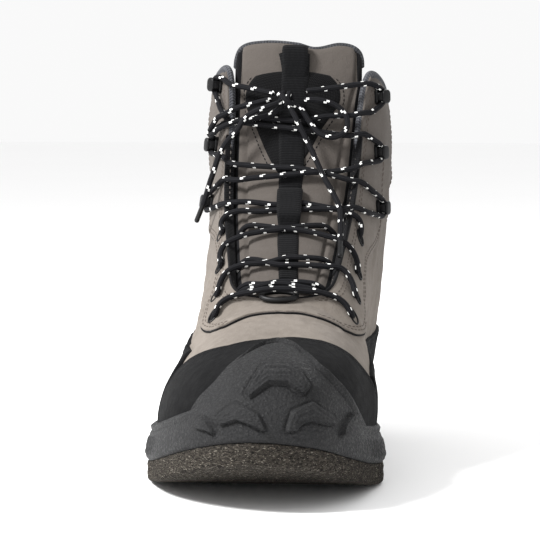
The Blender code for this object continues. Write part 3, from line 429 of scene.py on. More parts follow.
# Routes of the laces: station, place across the throat, lift in lace diameters
CROSSINGS = {
    "lace_bar": [[
        (5.50, -1.60, 1.38), (5.82, -1.48, 1.38), (5.92, -1.30, 1.38), (5.88, -1.16, 1.38),
        (5.74, -0.88, 1.90), (5.70, -0.50, 2.70), (5.69, -0.10, 2.80), (5.71, 0.35, 2.65),
        (5.76, 0.72, 2.05), (5.94, 1.12, 1.38),
        (5.98, 1.28, 1.38), (5.94, 1.44, 1.38), (5.75, 1.60, 1.38),
    ]],
    "lace_cross_1": [[
        (6.30, -0.68, 0.51), (6.20, -0.34, 0.55), (6.28, -0.06, 0.53), (6.30, 0.30, 0.53),
        (6.30, 0.66, 0.60),
    ], [
        (6.14, -0.78, 0.50), (6.10, -0.60, 0.55), (6.20, -0.26, 0.55), (6.22, 0.02, 0.55),
        (6.14, 0.44, 0.55), (6.10, 0.76, 0.60),
    ]],
    "lace_cross_2": [[
        (6.28, -1.30, 1.38), (6.58, -1.18, 1.38), (6.74, -1.06, 1.38), (6.78, -0.88, 1.20),
        (6.80, -0.62, 0.77), (6.80, -0.24, 0.42), (6.90, 0.02, 0.40), (6.94, 0.38, 0.40),
        (7.00, 0.70, 0.30),
    ], [
        (6.50, 1.39, 1.38), (6.74, 1.26, 1.38), (6.86, 1.12, 1.38), (6.88, 1.00, 1.30),
        (6.80, 0.76, 0.95), (6.76, 0.32, 0.44), (6.74, -0.08, 0.42), (6.88, -0.40, 0.40),
        (6.96, -0.62, 0.32),
    ]],
    "lace_cross_3": [[
        (7.05, -1.12, 1.38), (7.30, -1.12, 1.38), (7.38, -1.00, 1.38), (7.38, -0.80, 1.00),
        (7.42, -0.60, 0.48), (7.44, -0.34, 0.10), (7.46, -0.04, 0.08), (7.54, 0.28, -0.10),
        (7.62, 0.58, -0.20),
    ], [
        (7.13, 1.28, 1.38), (7.28, 1.24, 1.38), (7.38, 1.12, 1.38), (7.40, 1.00, 1.30),
        (7.40, 0.72, 0.80), (7.44, 0.40, 0.12), (7.46, 0.10, 0.08), (7.48, -0.12, 0.04),
        (7.55, -0.36, -0.15), (7.62, -0.60, -0.20),
    ]],
    "lace_cross_4": [[
        (7.64, -1.03, 1.38), (7.84, -1.06, 1.38), (7.86, -0.90, 1.25), (7.86, -0.68, 0.41),
        (7.82, -0.44, -0.50), (7.82, -0.14, -0.72), (7.84, 0.22, -0.72), (7.88, 0.50, -0.34),
        (7.92, 0.78, 0.87), (8.18, 1.12, 1.38), (8.52, 1.36, 1.38),
    ], [
        (7.89, 1.17, 1.38), (7.98, 1.12, 1.38), (7.92, 0.96, 1.30), (7.90, 0.72, 0.58),
        (7.92, 0.44, -0.50), (7.94, 0.16, -0.72), (7.90, -0.14, -0.72), (7.94, -0.36, -0.50),
        (8.00, -0.64, 0.35), (8.06, -0.92, 1.31), (8.22, -1.12, 1.38),
    ]],
    "lace_cross_5": [[
        (9.34, -1.28, 1.38), (8.76, -0.88, 1.25), (8.58, -0.54, 0.25), (8.48, -0.16, 0.0),
        (8.46, 0.10, 0.0), (8.44, 0.28, 0.0), (8.42, 0.56, 0.33), (8.44, 0.86, 1.21),
        (8.68, 1.16, 1.38), (8.90, 1.34, 1.38),
    ], [
        (8.74, -1.16, 1.38), (8.40, -0.76, 0.95), (8.36, -0.48, 0.14), (8.34, -0.22, 0.0),
        (8.36, 0.04, 0.0), (8.40, 0.22, 0.0), (8.46, 0.48, 0.12), (8.54, 0.68, 0.69),
        (8.70, 0.92, 1.30), (9.08, 1.18, 1.38),
    ]],
    "lace_cross_6": [[
        (9.80, -1.34, 1.38), (9.38, -1.04, 1.38), (9.24, -0.70, 0.75), (9.22, -0.44, 0.02),
        (9.16, -0.18, -0.05), (9.14, 0.10, -0.05), (9.24, 0.40, 0.0), (9.32, 0.70, 0.75),
        (9.56, 1.04, 1.38), (9.94, 1.20, 1.38),
    ], [
        (10.1, -1.29, 1.38), (9.38, -0.96, 1.30), (9.20, -0.64, 0.54), (9.10, -0.30, -0.05),
        (9.04, 0.00, -0.05), (9.02, 0.30, -0.05), (9.04, 0.62, 0.46), (9.14, 0.88, 1.20),
        (9.34, 1.10, 1.38),
    ]],
    "lace_top_outer": [[
        (10.16, -1.10, 1.38), (9.80, -0.88, 1.26), (9.62, -0.60, 1.20),
        (9.50, -0.36, 1.40), (9.44, -0.22, 1.70),
    ]],
    "lace_top_inner": [[
        (10.2, 1.14, 1.38), (9.90, 0.92, 1.33), (9.66, 0.58, 1.20), (9.53, 0.30, 1.20),
        (9.48, 0.14, 1.40),
    ]],
}
BOW = {
    "lace_loop_outer": [
        (9.36, -0.22, 1.90), (9.35, -0.30, 1.90), (9.34, -0.44, 1.90), (9.34, -0.64, 2.20),
        (9.34, -0.86, 2.60), (9.48, -1.12, 2.70), (9.58, -1.26, 2.70), (9.40, -1.16, 2.70),
        (9.24, -0.98, 2.70), (9.18, -0.78, 2.60), (9.17, -0.60, 2.20), (9.16, -0.44, 1.60),
        (9.18, -0.28, 1.30), (9.19, -0.22, 1.25),
    ],
    "lace_loop_inner": [
        (9.34, 0.12, 2.20), (9.35, 0.20, 2.30), (9.35, 0.30, 2.25), (9.34, 0.44, 1.95),
        (9.26, 0.58, 1.85), (9.14, 0.62, 1.85), (9.02, 0.58, 1.75), (8.92, 0.44, 1.55),
        (8.94, 0.30, 1.55), (9.02, 0.22, 1.60), (9.14, 0.14, 1.70), (9.24, 0.08, 1.90),
    ],
    "lace_end_outer": [
        (9.22, -0.20, 3.90), (9.18, -0.32, 3.95), (9.14, -0.42, 3.85), (9.06, -0.50, 3.70),
        (8.98, -0.56, 3.50), (8.90, -0.68, 3.50), (8.80, -0.82, 3.30), (8.70, -0.96, 3.10),
        (8.62, -1.08, 3.10), (8.48, -1.14, 3.30), (8.38, -1.20, 3.40), (8.38, -1.30, 3.40),
        (8.42, -1.40, 3.40),
    ],
    "lace_end_inner": [
        (9.19, -0.02, 2.85), (9.10, 0.03, 2.85), (8.98, 0.08, 2.70), (8.82, 0.16, 1.90),
        (8.66, 0.24, 1.50), (8.44, 0.34, 1.30), (8.22, 0.46, 1.30), (8.02, 0.60, 1.40),
        (7.84, 0.70, 1.70), (7.60, 0.76, 1.90), (7.34, 0.82, 2.10), (7.00, 0.90, 2.30),
    ],
}


# Camera, with the lens and the sensor in millimetres, and studio
CAMERA_PLACE = (0.118, -1.463, 0.208)
CAMERA_TURN = radians(5.28)
CAMERA_DIP = radians(4.40)
LENS = 172.7
SENSOR = 36.0
WORLD_STRENGTH = 0.95
LIGHT_AIM = (0.0, -0.14, 0.07)
FLOOR_REACH = 6.0

# Materials: the heights over which painted shade darkens the leather up the shaft, and the pace of the lace's
# flecks
SHAFT_SHADE_HEIGHTS = (0.070, 0.160)
FLECK_PACE = 0.0108


def look_at(obj, direction):
    obj.rotation_euler = Vector(direction).to_track_quat("-Z", "Y").to_euler()


def make_camera():
    lens = bpy.data.cameras.new("camera")
    lens.lens = LENS
    lens.sensor_width = SENSOR
    obj = bpy.data.objects.new("camera", lens)
    bpy.context.scene.collection.objects.link(obj)
    obj.location = CAMERA_PLACE
    look_at(obj, (-sin(CAMERA_TURN), cos(CAMERA_TURN), -tan(CAMERA_DIP)))
    bpy.context.scene.camera = obj


def make_light(name, place, size, power):
    """A round, soft light that shines at the boot."""
    data = bpy.data.lights.new(name, "AREA")
    data.shape = "DISK"
    data.size = size
    data.energy = power
    obj = bpy.data.objects.new(name, data)
    bpy.context.scene.collection.objects.link(obj)
    obj.location = place
    look_at(obj, Vector(LIGHT_AIM) - Vector(place))


def make_lights():
    world = bpy.data.worlds.new("studio")
    world.use_nodes = True
    sky = world.node_tree.nodes["Background"]
    sky.inputs["Color"].default_value = (1.0, 1.0, 1.0, 1.0)
    sky.inputs["Strength"].default_value = WORLD_STRENGTH
    bpy.context.scene.world = world
    bpy.context.scene.view_settings.view_transform = "Standard"
    make_light("key", (-0.95, -0.7, 1.15), 0.4, 46.0)
    make_light("back", (0.2, 1.2, 1.2), 0.9, 10.0)


def shade(red, green, blue):
    """A colour as a picture shows it, 0 to 255, as the shader's linear value."""
    values = np.array([red, green, blue]) / 255.0
    linear = np.where(values > 0.04045, ((values + 0.055) / 1.055) ** 2.4, values / 12.92)
    return (*(float(value) for value in linear), 1.0)


def put(tree, kind, inputs=None, **settings):
    """A new node with its settings; inputs are numbers, colours or other nodes' outputs."""
    node = tree.nodes.new(f"ShaderNode{kind}")
    for key, value in settings.items():
        setattr(node, key, value)
    for key, value in (inputs or {}).items():
        if isinstance(value, bpy.types.NodeSocket):
            tree.links.new(value, node.inputs[key])
        else:
            node.inputs[key].default_value = value
    return node


def calc(tree, operation, *values):
    return put(tree, "Math", dict(enumerate(values)), operation=operation).outputs[0]


def place_on(tree, kind="Object"):
    """The place on the piece: its own metres, or its UV map's."""
    return put(tree, "TexCoord").outputs[kind]


def parts_of(tree, place):
    return put(tree, "SeparateXYZ", {0: place}).outputs


def noise(tree, scale, detail=3.0):
    settings = {"Vector": place_on(tree), "Scale": scale, "Detail": detail, "Roughness": 0.6}
    return put(tree, "TexNoise", settings).outputs["Fac"]


def cells(tree, scale):
    return put(tree, "TexVoronoi", {"Vector": place_on(tree), "Scale": scale}).outputs["Distance"]


def spread(tree, value, low, high, start=0.0, end=1.0):
    """value from low to high, spread evenly over start to end and clipped there."""
    numbers = {"Value": value, "From Min": low, "From Max": high, "To Min": start, "To Max": end}
    return put(tree, "MapRange", numbers).outputs["Result"]


def wave(tree, value, turns):
    """A sine of so many turns for each unit of value, between 0 and 1."""
    swing = calc(tree, "SINE", calc(tree, "MULTIPLY", value, turns * 2.0 * pi))
    return calc(tree, "MULTIPLY_ADD", swing, 0.5, 0.5)


def blend(tree, share, first, second):
    return put(tree, "MixRGB", {"Fac": share, "Color1": first, "Color2": second}).outputs[0]


def height(tree, *layers):
    """The sum of patterns, each a pair of pattern and height in metres."""
    total = 0.0
    for pattern, size in layers:
        total = calc(tree, "MULTIPLY_ADD", pattern, size * 1000.0, total)
    return total


def finished(name, make, roughness, specular, sheen=0.0):
    """A material; make(tree) gives its colour, its surface height in millimetres and maybe roughness."""
    found = bpy.data.materials.new(name)
    found.use_nodes = True
    tree = found.node_tree
    shader = tree.nodes["Principled BSDF"]
    colour, surface, rough = make(tree)
    tree.links.new(colour, shader.inputs["Base Color"])
    if surface is not None:
        relief = put(tree, "Bump", {"Strength": 1.0, "Distance": 0.001, "Height": surface})
        tree.links.new(relief.outputs["Normal"], shader.inputs["Normal"])
    if rough is None:
        shader.inputs["Roughness"].default_value = roughness
    else:
        tree.links.new(rough, shader.inputs["Roughness"])
    shader.inputs["Specular IOR Level"].default_value = specular
    shader.inputs["Sheen Weight"].default_value = sheen
    shader.inputs["Sheen Roughness"].default_value = 0.6
    return found


def nubuck(name, colour, dark, worn, sheen, shaft_shade=None):
    """Brushed leather: broad tone changes, brushed nap, fine grain and painted shade darker up the shaft."""

    def make(tree):
        broad = spread(tree, noise(tree, 28.0, 4.0), 0.32, 0.68)
        nap = spread(tree, noise(tree, 210.0, 5.0), 0.35, 0.65)
        fine = noise(tree, 1500.0, 3.0)
        tone = calc(tree, "MULTIPLY_ADD", broad, 0.55, calc(tree, "MULTIPLY", nap, 0.45))
        base = blend(tree, tone, dark, colour)
        scuffed = spread(tree, noise(tree, 75.0, 7.0), 0.62, 0.74, 0.0, 0.5)
        base = blend(tree, scuffed, base, worn)
        # Painted shade: the colour darkens up the shaft, where the upright leather takes less light
        if shaft_shade:
            up = parts_of(tree, place_on(tree))[2]
            base = blend(tree, spread(tree, up, *SHAFT_SHADE_HEIGHTS), base, shaft_shade)
        pores = spread(tree, cells(tree, 1300.0), 0.0, 0.45)
        relief = height(tree, (nap, 0.00016), (fine, 0.00016), (pores, 0.00008))
        return base, relief, spread(tree, nap, 0.0, 1.0, 0.95, 0.82)

    return finished(name, make, 0.88, specular=0.08, sheen=sheen)


def rubber_look(name):
    """Pebbled rubber, with painted highlights on its proud grains and dust in the grain."""

    def make(tree):
        broad = spread(tree, noise(tree, 35.0, 4.0), 0.35, 0.65)
        pebbles = spread(tree, cells(tree, 560.0), 0.05, 0.62, 1.0, 0.0)
        grains = spread(tree, noise(tree, 1250.0, 3.0), 0.45, 0.62)
        base = blend(tree, broad, shade(22, 22, 23), shade(30, 30, 31))
        # Painted highlight: the proud grains are lightened
        base = blend(tree, calc(tree, "MULTIPLY", grains, 0.3), base, shade(58, 58, 58))
        dust = spread(tree, noise(tree, 140.0, 6.0), 0.58, 0.8, 0.0, 0.25)
        base = blend(tree, dust, base, shade(50, 49, 47))
        relief = height(tree, (pebbles, 0.00035), (grains, 0.00022), (noise(tree, 2200.0, 2.0), 0.00006))
        return base, relief, spread(tree, pebbles, 0.0, 1.0, 0.68, 0.45)

    return finished(name, make, 0.6, specular=0.2)


def felt_look(name):
    """Needled felt: matted fibres that lie along the sole, dark hollows and pale stray fibres."""

    def make(tree):
        along = put(tree, "Mapping", {"Vector": place_on(tree), "Scale": (1.0, 1.0, 2.6)}).outputs[0]
        fibres = put(tree, "TexNoise", {"Vector": along, "Scale": 480.0, "Detail": 7.0, "Roughness": 0.75})
        tufts = spread(tree, fibres.outputs["Fac"], 0.40, 0.62)
        base = blend(tree, tufts, shade(20, 19, 17), shade(82, 76, 69))
        strays = put(tree, "TexNoise", {"Vector": along, "Scale": 700.0, "Detail": 4.0, "Roughness": 0.7})
        base = blend(tree, spread(tree, strays.outputs["Fac"], 0.58, 0.66), base, shade(158, 151, 139))
        relief = height(tree, (tufts, 0.0008), (strays.outputs["Fac"], 0.0006))
        return base, relief, None

    return finished(name, make, 0.97, specular=0.05, sheen=0.02)


def cloth_look(name, colour, dark, across, along, depth, sheen=0.04):
    """Knit or woven cloth whose ribs follow the piece's UV map, in metres; across and along are counts."""

    def make(tree):
        place = parts_of(tree, place_on(tree, "UV"))
        ribs, rows = wave(tree, place[0], across), wave(tree, place[1], along)
        weave = calc(tree, "MULTIPLY_ADD", rows, 0.4, calc(tree, "MULTIPLY", ribs, 0.6))
        tone = calc(tree, "MULTIPLY_ADD", noise(tree, 160.0, 4.0), 0.5, calc(tree, "MULTIPLY", weave, 0.6))
        base = blend(tree, spread(tree, tone, 0.2, 0.9), dark, colour)
        relief = height(tree, (weave, depth), (noise(tree, 1800.0, 3.0), 0.00008))
        return base, relief, None

    return finished(name, make, 0.9, specular=0.06, sheen=sheen)


def lace_look(name):
    """Round braid: two slanted pale flecks at an even pace; the UV map holds metres and turns."""
    strands = 9.0

    def make(tree):
        length, turn = parts_of(tree, place_on(tree, "UV"))[:2]
        along = calc(tree, "MULTIPLY", length, 1.0 / FLECK_PACE)
        phase = calc(tree, "FRACT", along)
        lane = calc(tree, "FRACT", calc(tree, "MULTIPLY_ADD", turn, 2.0, 0.5))
        first = calc(tree, "MULTIPLY", calc(tree, "LESS_THAN", phase, 0.15),
                     calc(tree, "COMPARE", lane, 0.36, 0.12))
        second = calc(tree, "MULTIPLY", calc(tree, "COMPARE", phase, 0.20, 0.075),
                      calc(tree, "COMPARE", lane, 0.62, 0.12))
        fleck = calc(tree, "MAXIMUM", first, second)
        left, right = (
            calc(tree, "SINE", calc(tree, "MULTIPLY", calc(
                tree, "MULTIPLY_ADD", along, strands, calc(tree, "MULTIPLY", turn, turns)), 2.0 * pi))
            for turns in (4.0, -4.0)
        )
        braid = calc(tree, "MULTIPLY_ADD", calc(tree, "MULTIPLY", left, right), 0.5, 0.5)
        base = blend(tree, braid, shade(9, 9, 10), shade(30, 30, 33))
        base = blend(tree, fleck, base, shade(235, 235, 232))
        relief = height(tree, (braid, 0.0002), (noise(tree, 2500.0, 2.0), 0.00005))
        return base, relief, None

    return finished(name, make, 0.8, specular=0.1)


def plastic_look(name):
    def make(tree):
        broad = spread(tree, noise(tree, 120.0, 3.0), 0.3, 0.7)
        base = blend(tree, broad, shade(7, 7, 8), shade(14, 14, 15))
        relief = height(tree, (noise(tree, 1700.0, 2.0), 0.00003))
        return base, relief, spread(tree, noise(tree, 90.0, 5.0), 0.3, 0.7, 0.38, 0.55)

    return finished(name, make, 0.45, specular=0.22)


def floor_look(name):
    def make(tree):
        base = blend(tree, noise(tree, 3.0, 2.0), shade(250, 250, 250), shade(252, 252, 252))
        return base, None, None

    return finished(name, make, 0.9, specular=0.05)


def make_floor():
    mesh = bpy.data.meshes.new("floor")
    corners = [(x * FLOOR_REACH, y * FLOOR_REACH, 0) for x, y in ((-1, -1), (1, -1), (1, 1), (-1, 1))]
    mesh.from_pydata(corners, [], [(0, 1, 2, 3)])
    mesh.materials.append(floor_look("floor"))
    obj = bpy.data.objects.new("floor", mesh)
    bpy.context.scene.collection.objects.link(obj)


def grid_faces(rows, columns, wrap=False):
    row, column = np.meshgrid(np.arange(rows - 1), np.arange(columns if wrap else columns - 1), indexing="ij")
    following = (column + 1) % columns
    low, high = row * columns, (row + 1) * columns
    return np.stack([low + column, low + following, high + following, high + column], -1).reshape(-1, 4)


def shown(mesh, finishes, slot):
    """The mesh as a shown piece that rides on the boot."""
    mesh.shade_smooth()
    mesh.set_sharp_from_angle(angle=radians(50.0))
    for finish in finishes if isinstance(finishes, list) else [finishes]:
        mesh.materials.append(finish)
    obj = bpy.data.objects.new(mesh.name, mesh)
    bpy.context.scene.collection.objects.link(obj)
    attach(obj, "root")
    return obj


def piece(name, points, faces, finishes, slot, uv=None, outward=None, weld=1e-7):
    """A shown piece from points and faces. outward turns its faces the same way as those vectors."""
    points = np.asarray(points, float).reshape(-1, 3)
    if outward is not None:
        corners = points[faces[:, :4]]
        across = np.cross(corners[:, 2] - corners[:, 0], corners[:, 3] - corners[:, 1])
        middle = np.asarray(outward, float).reshape(-1, 3)[faces[:, 0]]
        if (across * middle).sum() < 0:
            faces = faces[:, ::-1]
    mesh = bpy.data.meshes.new(name)
    faces = [face if isinstance(face, list) else face.tolist() for face in faces]
    mesh.from_pydata(points.tolist(), [], faces)
    if uv is not None:
        layer = mesh.uv_layers.new(name="UVMap")
        corners = np.empty(len(mesh.loops), np.int32)
        mesh.loops.foreach_get("vertex_index", corners)
        layer.data.foreach_set("uv", np.asarray(uv, float).reshape(-1, 2)[corners].ravel())
    work = bmesh.new()
    work.from_mesh(mesh)
    bmesh.ops.remove_doubles(work, verts=work.verts, dist=weld)
    if outward is None:
        bmesh.ops.recalc_face_normals(work, faces=work.faces)
    work.to_mesh(mesh)
    work.free()
    return shown(mesh, finishes, slot)


def measured(grid):
    """UV in metres: along the rows' own length and along the columns'."""
    across = np.linalg.norm(np.diff(grid, axis=1), axis=-1)
    across = np.concatenate([np.zeros((len(grid), 1)), np.cumsum(across, 1)], 1)
    upward = np.linalg.norm(np.diff(grid, axis=0), axis=-1)
    upward = np.concatenate([np.zeros((1, grid.shape[1])), np.cumsum(upward, 0)], 0)
    return np.stack([across, upward], -1)


def slab(name, front, back, finish, slot):
    """A closed piece between a front and a back grid whose borders are joined."""
    ring = np.concatenate([front, back[:, ::-1]], 1)
    rows, columns = ring.shape[:2]
    faces = grid_faces(rows, columns, wrap=True)
    half = front.shape[1]
    caps = []
    for start in (0, (rows - 1) * columns):
        for i in range(half - 1):
            caps.append([start + i, start + i + 1, start + columns - 2 - i, start + columns - 1 - i])
    uv = np.concatenate([measured(front), measured(back)[:, ::-1]], 1)
    return piece(name, ring, np.concatenate([faces, caps]), finish, slot, uv=uv)


def swept(points, radius, sides):
    """Rings round a line of points, with their UV: metres along it and turns round it."""
    points = np.asarray(points, float)
    along = np.gradient(points, axis=0)
    along /= np.linalg.norm(along, axis=1, keepdims=True)
    across = np.empty_like(points)
    side_way = np.cross(along[0], (0.0, 0.0, 1.0))
    if np.linalg.norm(side_way) < 1e-3:
        side_way = np.cross(along[0], (1.0, 0.0, 0.0))
    for i, way in enumerate(along):
        side_way = side_way - way * side_way.dot(way)
        side_way /= np.linalg.norm(side_way)
        across[i] = side_way
    up = np.cross(across, along)
    angles = np.linspace(0.0, 2.0 * pi, sides + 1)
    radius = np.broadcast_to(np.asarray(radius, float), len(points))[:, None, None]
    rings = points[:, None] + radius * (
        np.cos(angles)[None, :, None] * across[:, None] + np.sin(angles)[None, :, None] * up[:, None]
    )
    length = np.concatenate([[0.0], np.cumsum(np.linalg.norm(np.diff(points, axis=0), axis=1))])
    uv = np.stack(np.broadcast_arrays(length[:, None], angles[None, :] / (2.0 * pi)), -1)
    return rings, uv


def joined(grids):
    """The points of grids of points one after another, and the faces of all of them."""
    faces, start = [], 0
    for grid in grids:
        faces.append(grid_faces(*grid.shape[:2]) + start)
        start += grid.shape[0] * grid.shape[1]
    return np.concatenate([grid.reshape(-1, 3) for grid in grids]), np.concatenate(faces)


def tube(name, lines, radius, finish, slot, sides=12):
    """Round cords through lines of points, joined in one piece, with domed ends."""
    grids, uvs = [], []
    dome = np.array([0.02, 0.55, 0.87])
    depth = np.sqrt(1.0 - dome**2) * 0.8
    for line in lines:
        line = np.asarray(line, float)
        size = np.broadcast_to(np.asarray(radius, float), len(line))
        first, last = line[0] - line[1], line[-1] - line[-2]
        first, last = first / np.linalg.norm(first), last / np.linalg.norm(last)
        line = np.concatenate([
            line[0] + first * size[0] * depth[:, None], line, line[-1] + last * size[-1] * depth[::-1, None]
        ])
        size = np.concatenate([size[0] * dome, size, size[-1] * dome[::-1]])
        rings, uv = swept(line, size, sides)
        grids.append(rings)
        uvs.append(uv.reshape(-1, 2))
    return piece(name, *joined(grids), finish, slot, uv=np.concatenate(uvs))


def even(line, pace):
    """The line's points, set at an even pace along it."""
    line = np.asarray(line, float)
    length = np.concatenate([[0.0], np.cumsum(np.linalg.norm(np.diff(line, axis=0), axis=1))])
    places = np.linspace(0.0, length[-1], max(5, 1 + round(length[-1] / pace)))
    return np.stack([np.interp(places, length, line[:, axis]) for axis in range(3)], 1)


def smooth(line, times):
    """The line with its inner points drawn towards their neighbours, times over."""
    line = np.array(line, float)
    for _ in range(times):
        line[1:-1] = 0.5 * line[1:-1] + 0.25 * (line[:-2] + line[2:])
    return line


def bump(value, middle, width):
    """1 where value is at middle, falling off smoothly over about width."""
    return np.exp(-(((value - middle) / width) ** 2))


def rounded(distance, roll):
    """0 at a border and 1 from roll inwards, along a quarter circle."""
    share = 1.0 - np.clip(np.asarray(distance, float) / roll, 0.0, 1.0)
    return np.sqrt(1.0 - share**2)


def run_length(points, axis):
    steps = np.linalg.norm(np.diff(points, axis=axis), axis=-1)
    start = np.zeros_like(np.take(steps, [0], axis))
    return np.concatenate([start, np.cumsum(steps, axis)], axis)


# Overlays: how high they stand, how deep their borders go into the leather, the borders' roll and rows
OVERLAY_RISE = OVERLAY_GAP + OVERLAY
SUNK = 0.0007
ROLL = 0.0009
BORDER = np.array([0.0, 0.00012, 0.0003, 0.0006, 0.001, 0.0014])


def border_shares(length):
    """Shares of each length, close together near both ends."""
    edge = np.minimum(BORDER[:, None] / length, 0.45)
    inside = edge[-1] + (1.0 - 2.0 * edge[-1]) * np.linspace(0.0, 1.0, 24)[1:-1, None]
    return np.concatenate([edge, inside, 1.0 - edge[::-1]])


def plate(name, t, low, high, finish, slot):
    """Overlay on the upper from height share low to high, its border rounded down into the leather."""
    mid = 0.5 * (low(t) + high(t))
    first = np.linalg.norm(side(t[:2] + STEP, mid[:2]) - side(t[:2], mid[:2]), axis=-1)[0] / STEP
    last = np.linalg.norm(side(t[-2:] - STEP, mid[-2:]) - side(t[-2:], mid[-2:]), axis=-1)[1] / STEP
    inside = (t > t[0] + 0.0016 / first) & (t < t[-1] - 0.0016 / last)
    t = np.concatenate([t[0] + BORDER / first, t[inside], t[-1] - BORDER[::-1] / last])
    bottom, top = low(t), high(t)
    trial = np.linspace(0.0, 1.0, 40)[:, None]
    length = run_length(side(t[None, :], bottom + (top - bottom) * trial), 0)[-1]
    v = bottom + (top - bottom) * border_shares(np.maximum(length, 1e-4))
    base = side(t[None, :], v)
    up = run_length(base, 0)
    meets_other_half = 0.01 * (1.0 - smoothstep(RIDGE, RIDGE + 0.12, folded(t))) * (top > 0.99)
    along = run_length(base, 1)
    ends = np.minimum(along, along[:, -1:] - along)
    distance = np.minimum(np.minimum(up, up[-1] - up + meets_other_half), ends)
    lift = -SUNK + (OVERLAY_RISE + SUNK) * rounded(distance, ROLL) + creases(t[None, :], v, base)
    points = side(t[None, :], v, lift)
    faces = grid_faces(*points.shape[:2])
    return piece(name, points, faces, finish, slot, measured(base), normal_of(t[None, :], v))


# Creases pressed in: stations and height shares along each, its depth and its half width in metres
CREASES = [
    ([(6.05, 0.52), (6.35, 0.56), (6.7, 0.57), (7.1, 0.54)], 0.0012, 0.0026),
    ([(6.55, 0.66), (6.9, 0.70), (7.3, 0.74)], 0.0007, 0.0018),
    ([(-6.2, 0.47), (-6.6, 0.50), (-7.0, 0.52), (-7.4, 0.50)], 0.0012, 0.0026),
    ([(-6.7, 0.60), (-7.1, 0.64), (-7.5, 0.66)], 0.0008, 0.0018),
    ([(8.6, 0.62), (9.2, 0.60), (9.9, 0.63), (10.6, 0.62)], 0.0011, 0.0034),
    ([(-8.6, 0.56), (-9.2, 0.57), (-9.9, 0.60), (-10.6, 0.60)], 0.0011, 0.0034),
    ([(11.2, 0.66), (12.0, 0.63), (13.0, 0.62)], 0.0010, 0.0038),
    ([(-11.2, 0.64), (-12.0, 0.62), (-13.0, 0.63)], 0.0010, 0.0038),
    ([(4.3, 0.70), (4.0, 0.80), (3.6, 0.88)], 0.0005, 0.0018),
    ([(-4.4, 0.68), (-4.1, 0.78), (-3.7, 0.86)], 0.0005, 0.0018),
]


def line_distance(points, line):
    """Distance of each point to a line of points."""
    nearest = np.full(points.shape[:-1], np.inf)
    for start, end in zip(line[:-1], line[1:]):
        way = end - start
        share = np.clip(((points - start) @ way) / max(way @ way, 1e-12), 0.0, 1.0)
        nearest = np.minimum(nearest, np.linalg.norm(points - start - share[..., None] * way, axis=-1))
    return nearest


def creases(t, v, base):
    """Lift of the leather by its creases and by slight unevenness, zero at the sole."""
    total = np.zeros(base.shape[:-1])
    for stops, depth, width in CREASES:
        stops = open_curve(stops)(np.linspace(0, len(stops) - 1, 5 * len(stops)))
        line = side(stops[:, 0], stops[:, 1])
        away = line_distance(base, line) / width
        total += depth * (0.45 * bump(away, 1.9, 1.0) - bump(away, 0.0, 1.0))
    x, y, z = (base[..., axis] for axis in range(3))
    uneven = np.sin(310.0 * y + 140.0 * z + 0.7) * np.sin(220.0 * z - 90.0 * y + 160.0 * x)
    total += 0.00025 * uneven * smoothstep(3.5, 6.0, folded(t))
    return total * smoothstep(0.05, 0.2, v) * (1.0 - smoothstep(0.9, 0.97, v))


def make_skin():
    """The upper's one wall, creased, with the lining cloth as its inner face."""
    fold = stations((0, 2.0, 40), (2.0, 5.0, 45), (5.0, 6.0, 14), (6.0, 14, 90))
    t = np.concatenate([fold, LOOP - fold[-2:0:-1]])
    v = np.linspace(0.0, 1.0, 84)[:, None]
    base = side(t[None, :], v)
    points = side(t[None, :], v, creases(t[None, :], v, base))
    faces = grid_faces(len(v), len(t), wrap=True)
    normals = normal_of(t[None, :], v)
    finishes = [TAUPE, LINING]
    skin = piece("upper_skin", points, faces, finishes, "taupe_nubuck", measured(points), normals, 1e-5)
    solid = skin.modifiers.new("thickness", "SOLIDIFY")
    solid.thickness = WALL
    solid.offset = -1.0
    solid.material_offset = 1
    solid.material_offset_rim = 0
    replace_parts(skin, "upper")


def stations(*stops):
    values = [np.linspace(start, end, steps, endpoint=False) for start, end, steps in stops]
    return np.concatenate(values + [[stops[-1][1]]])


# Reliefs of the toe cap, seen from the front: points across and up, in millimetres
LUGS = {
    "bar": [(1.9, 69.2), (14.0, 69.0), (18.8, 66.4), (24.6, 58.9), (21.8, 55.5), (14.1, 60.7), (5.9, 61.2),
            (-2.4, 55.1), (-5.0, 57.2)],
    "left": [(-17.8, 46.3), (-13.7, 49.7), (-8.6, 52.3), (-2.6, 50.9), (2.2, 48.3), (5.6, 41.1), (3.4, 41.2),
             (0.0, 43.0), (-7.9, 45.5), (-16.0, 42.5)],
    "right": [(15.1, 40.0), (15.9, 43.6), (17.6, 48.9), (26.1, 51.9), (34.9, 44.2), (35.4, 40.9),
              (32.0, 42.3), (26.2, 44.3), (22.1, 43.3), (19.7, 40.4)],
    "small_left": [(-29.8, 41.5), (-26.3, 45.0), (-22.1, 43.3), (-18.7, 39.0), (-20.8, 38.4),
                   (-23.4, 39.5), (-28.5, 39.3)],
    "small_right": [(38.7, 34.8), (39.5, 39.5), (42.7, 43.0), (44.6, 41.9), (41.1, 36.6)],
}


def inside_outline(points, corners):
    """Distance to the outline of corners, positive inside it."""
    corners = np.array(corners, float)
    nearest = line_distance(points, np.concatenate([corners, corners[:1]]))
    inside = np.zeros(points.shape[:-1], bool)
    for start, end in zip(corners, np.roll(corners, -1, 0)):
        crosses = (start[1] > points[..., 1]) != (end[1] > points[..., 1])
        rise = end[1] - start[1] if end[1] != start[1] else 1e-9
        at = start[0] + (points[..., 1] - start[1]) / rise * (end[0] - start[0])
        inside ^= crosses & (points[..., 0] < at)
    return np.where(inside, nearest, -nearest)


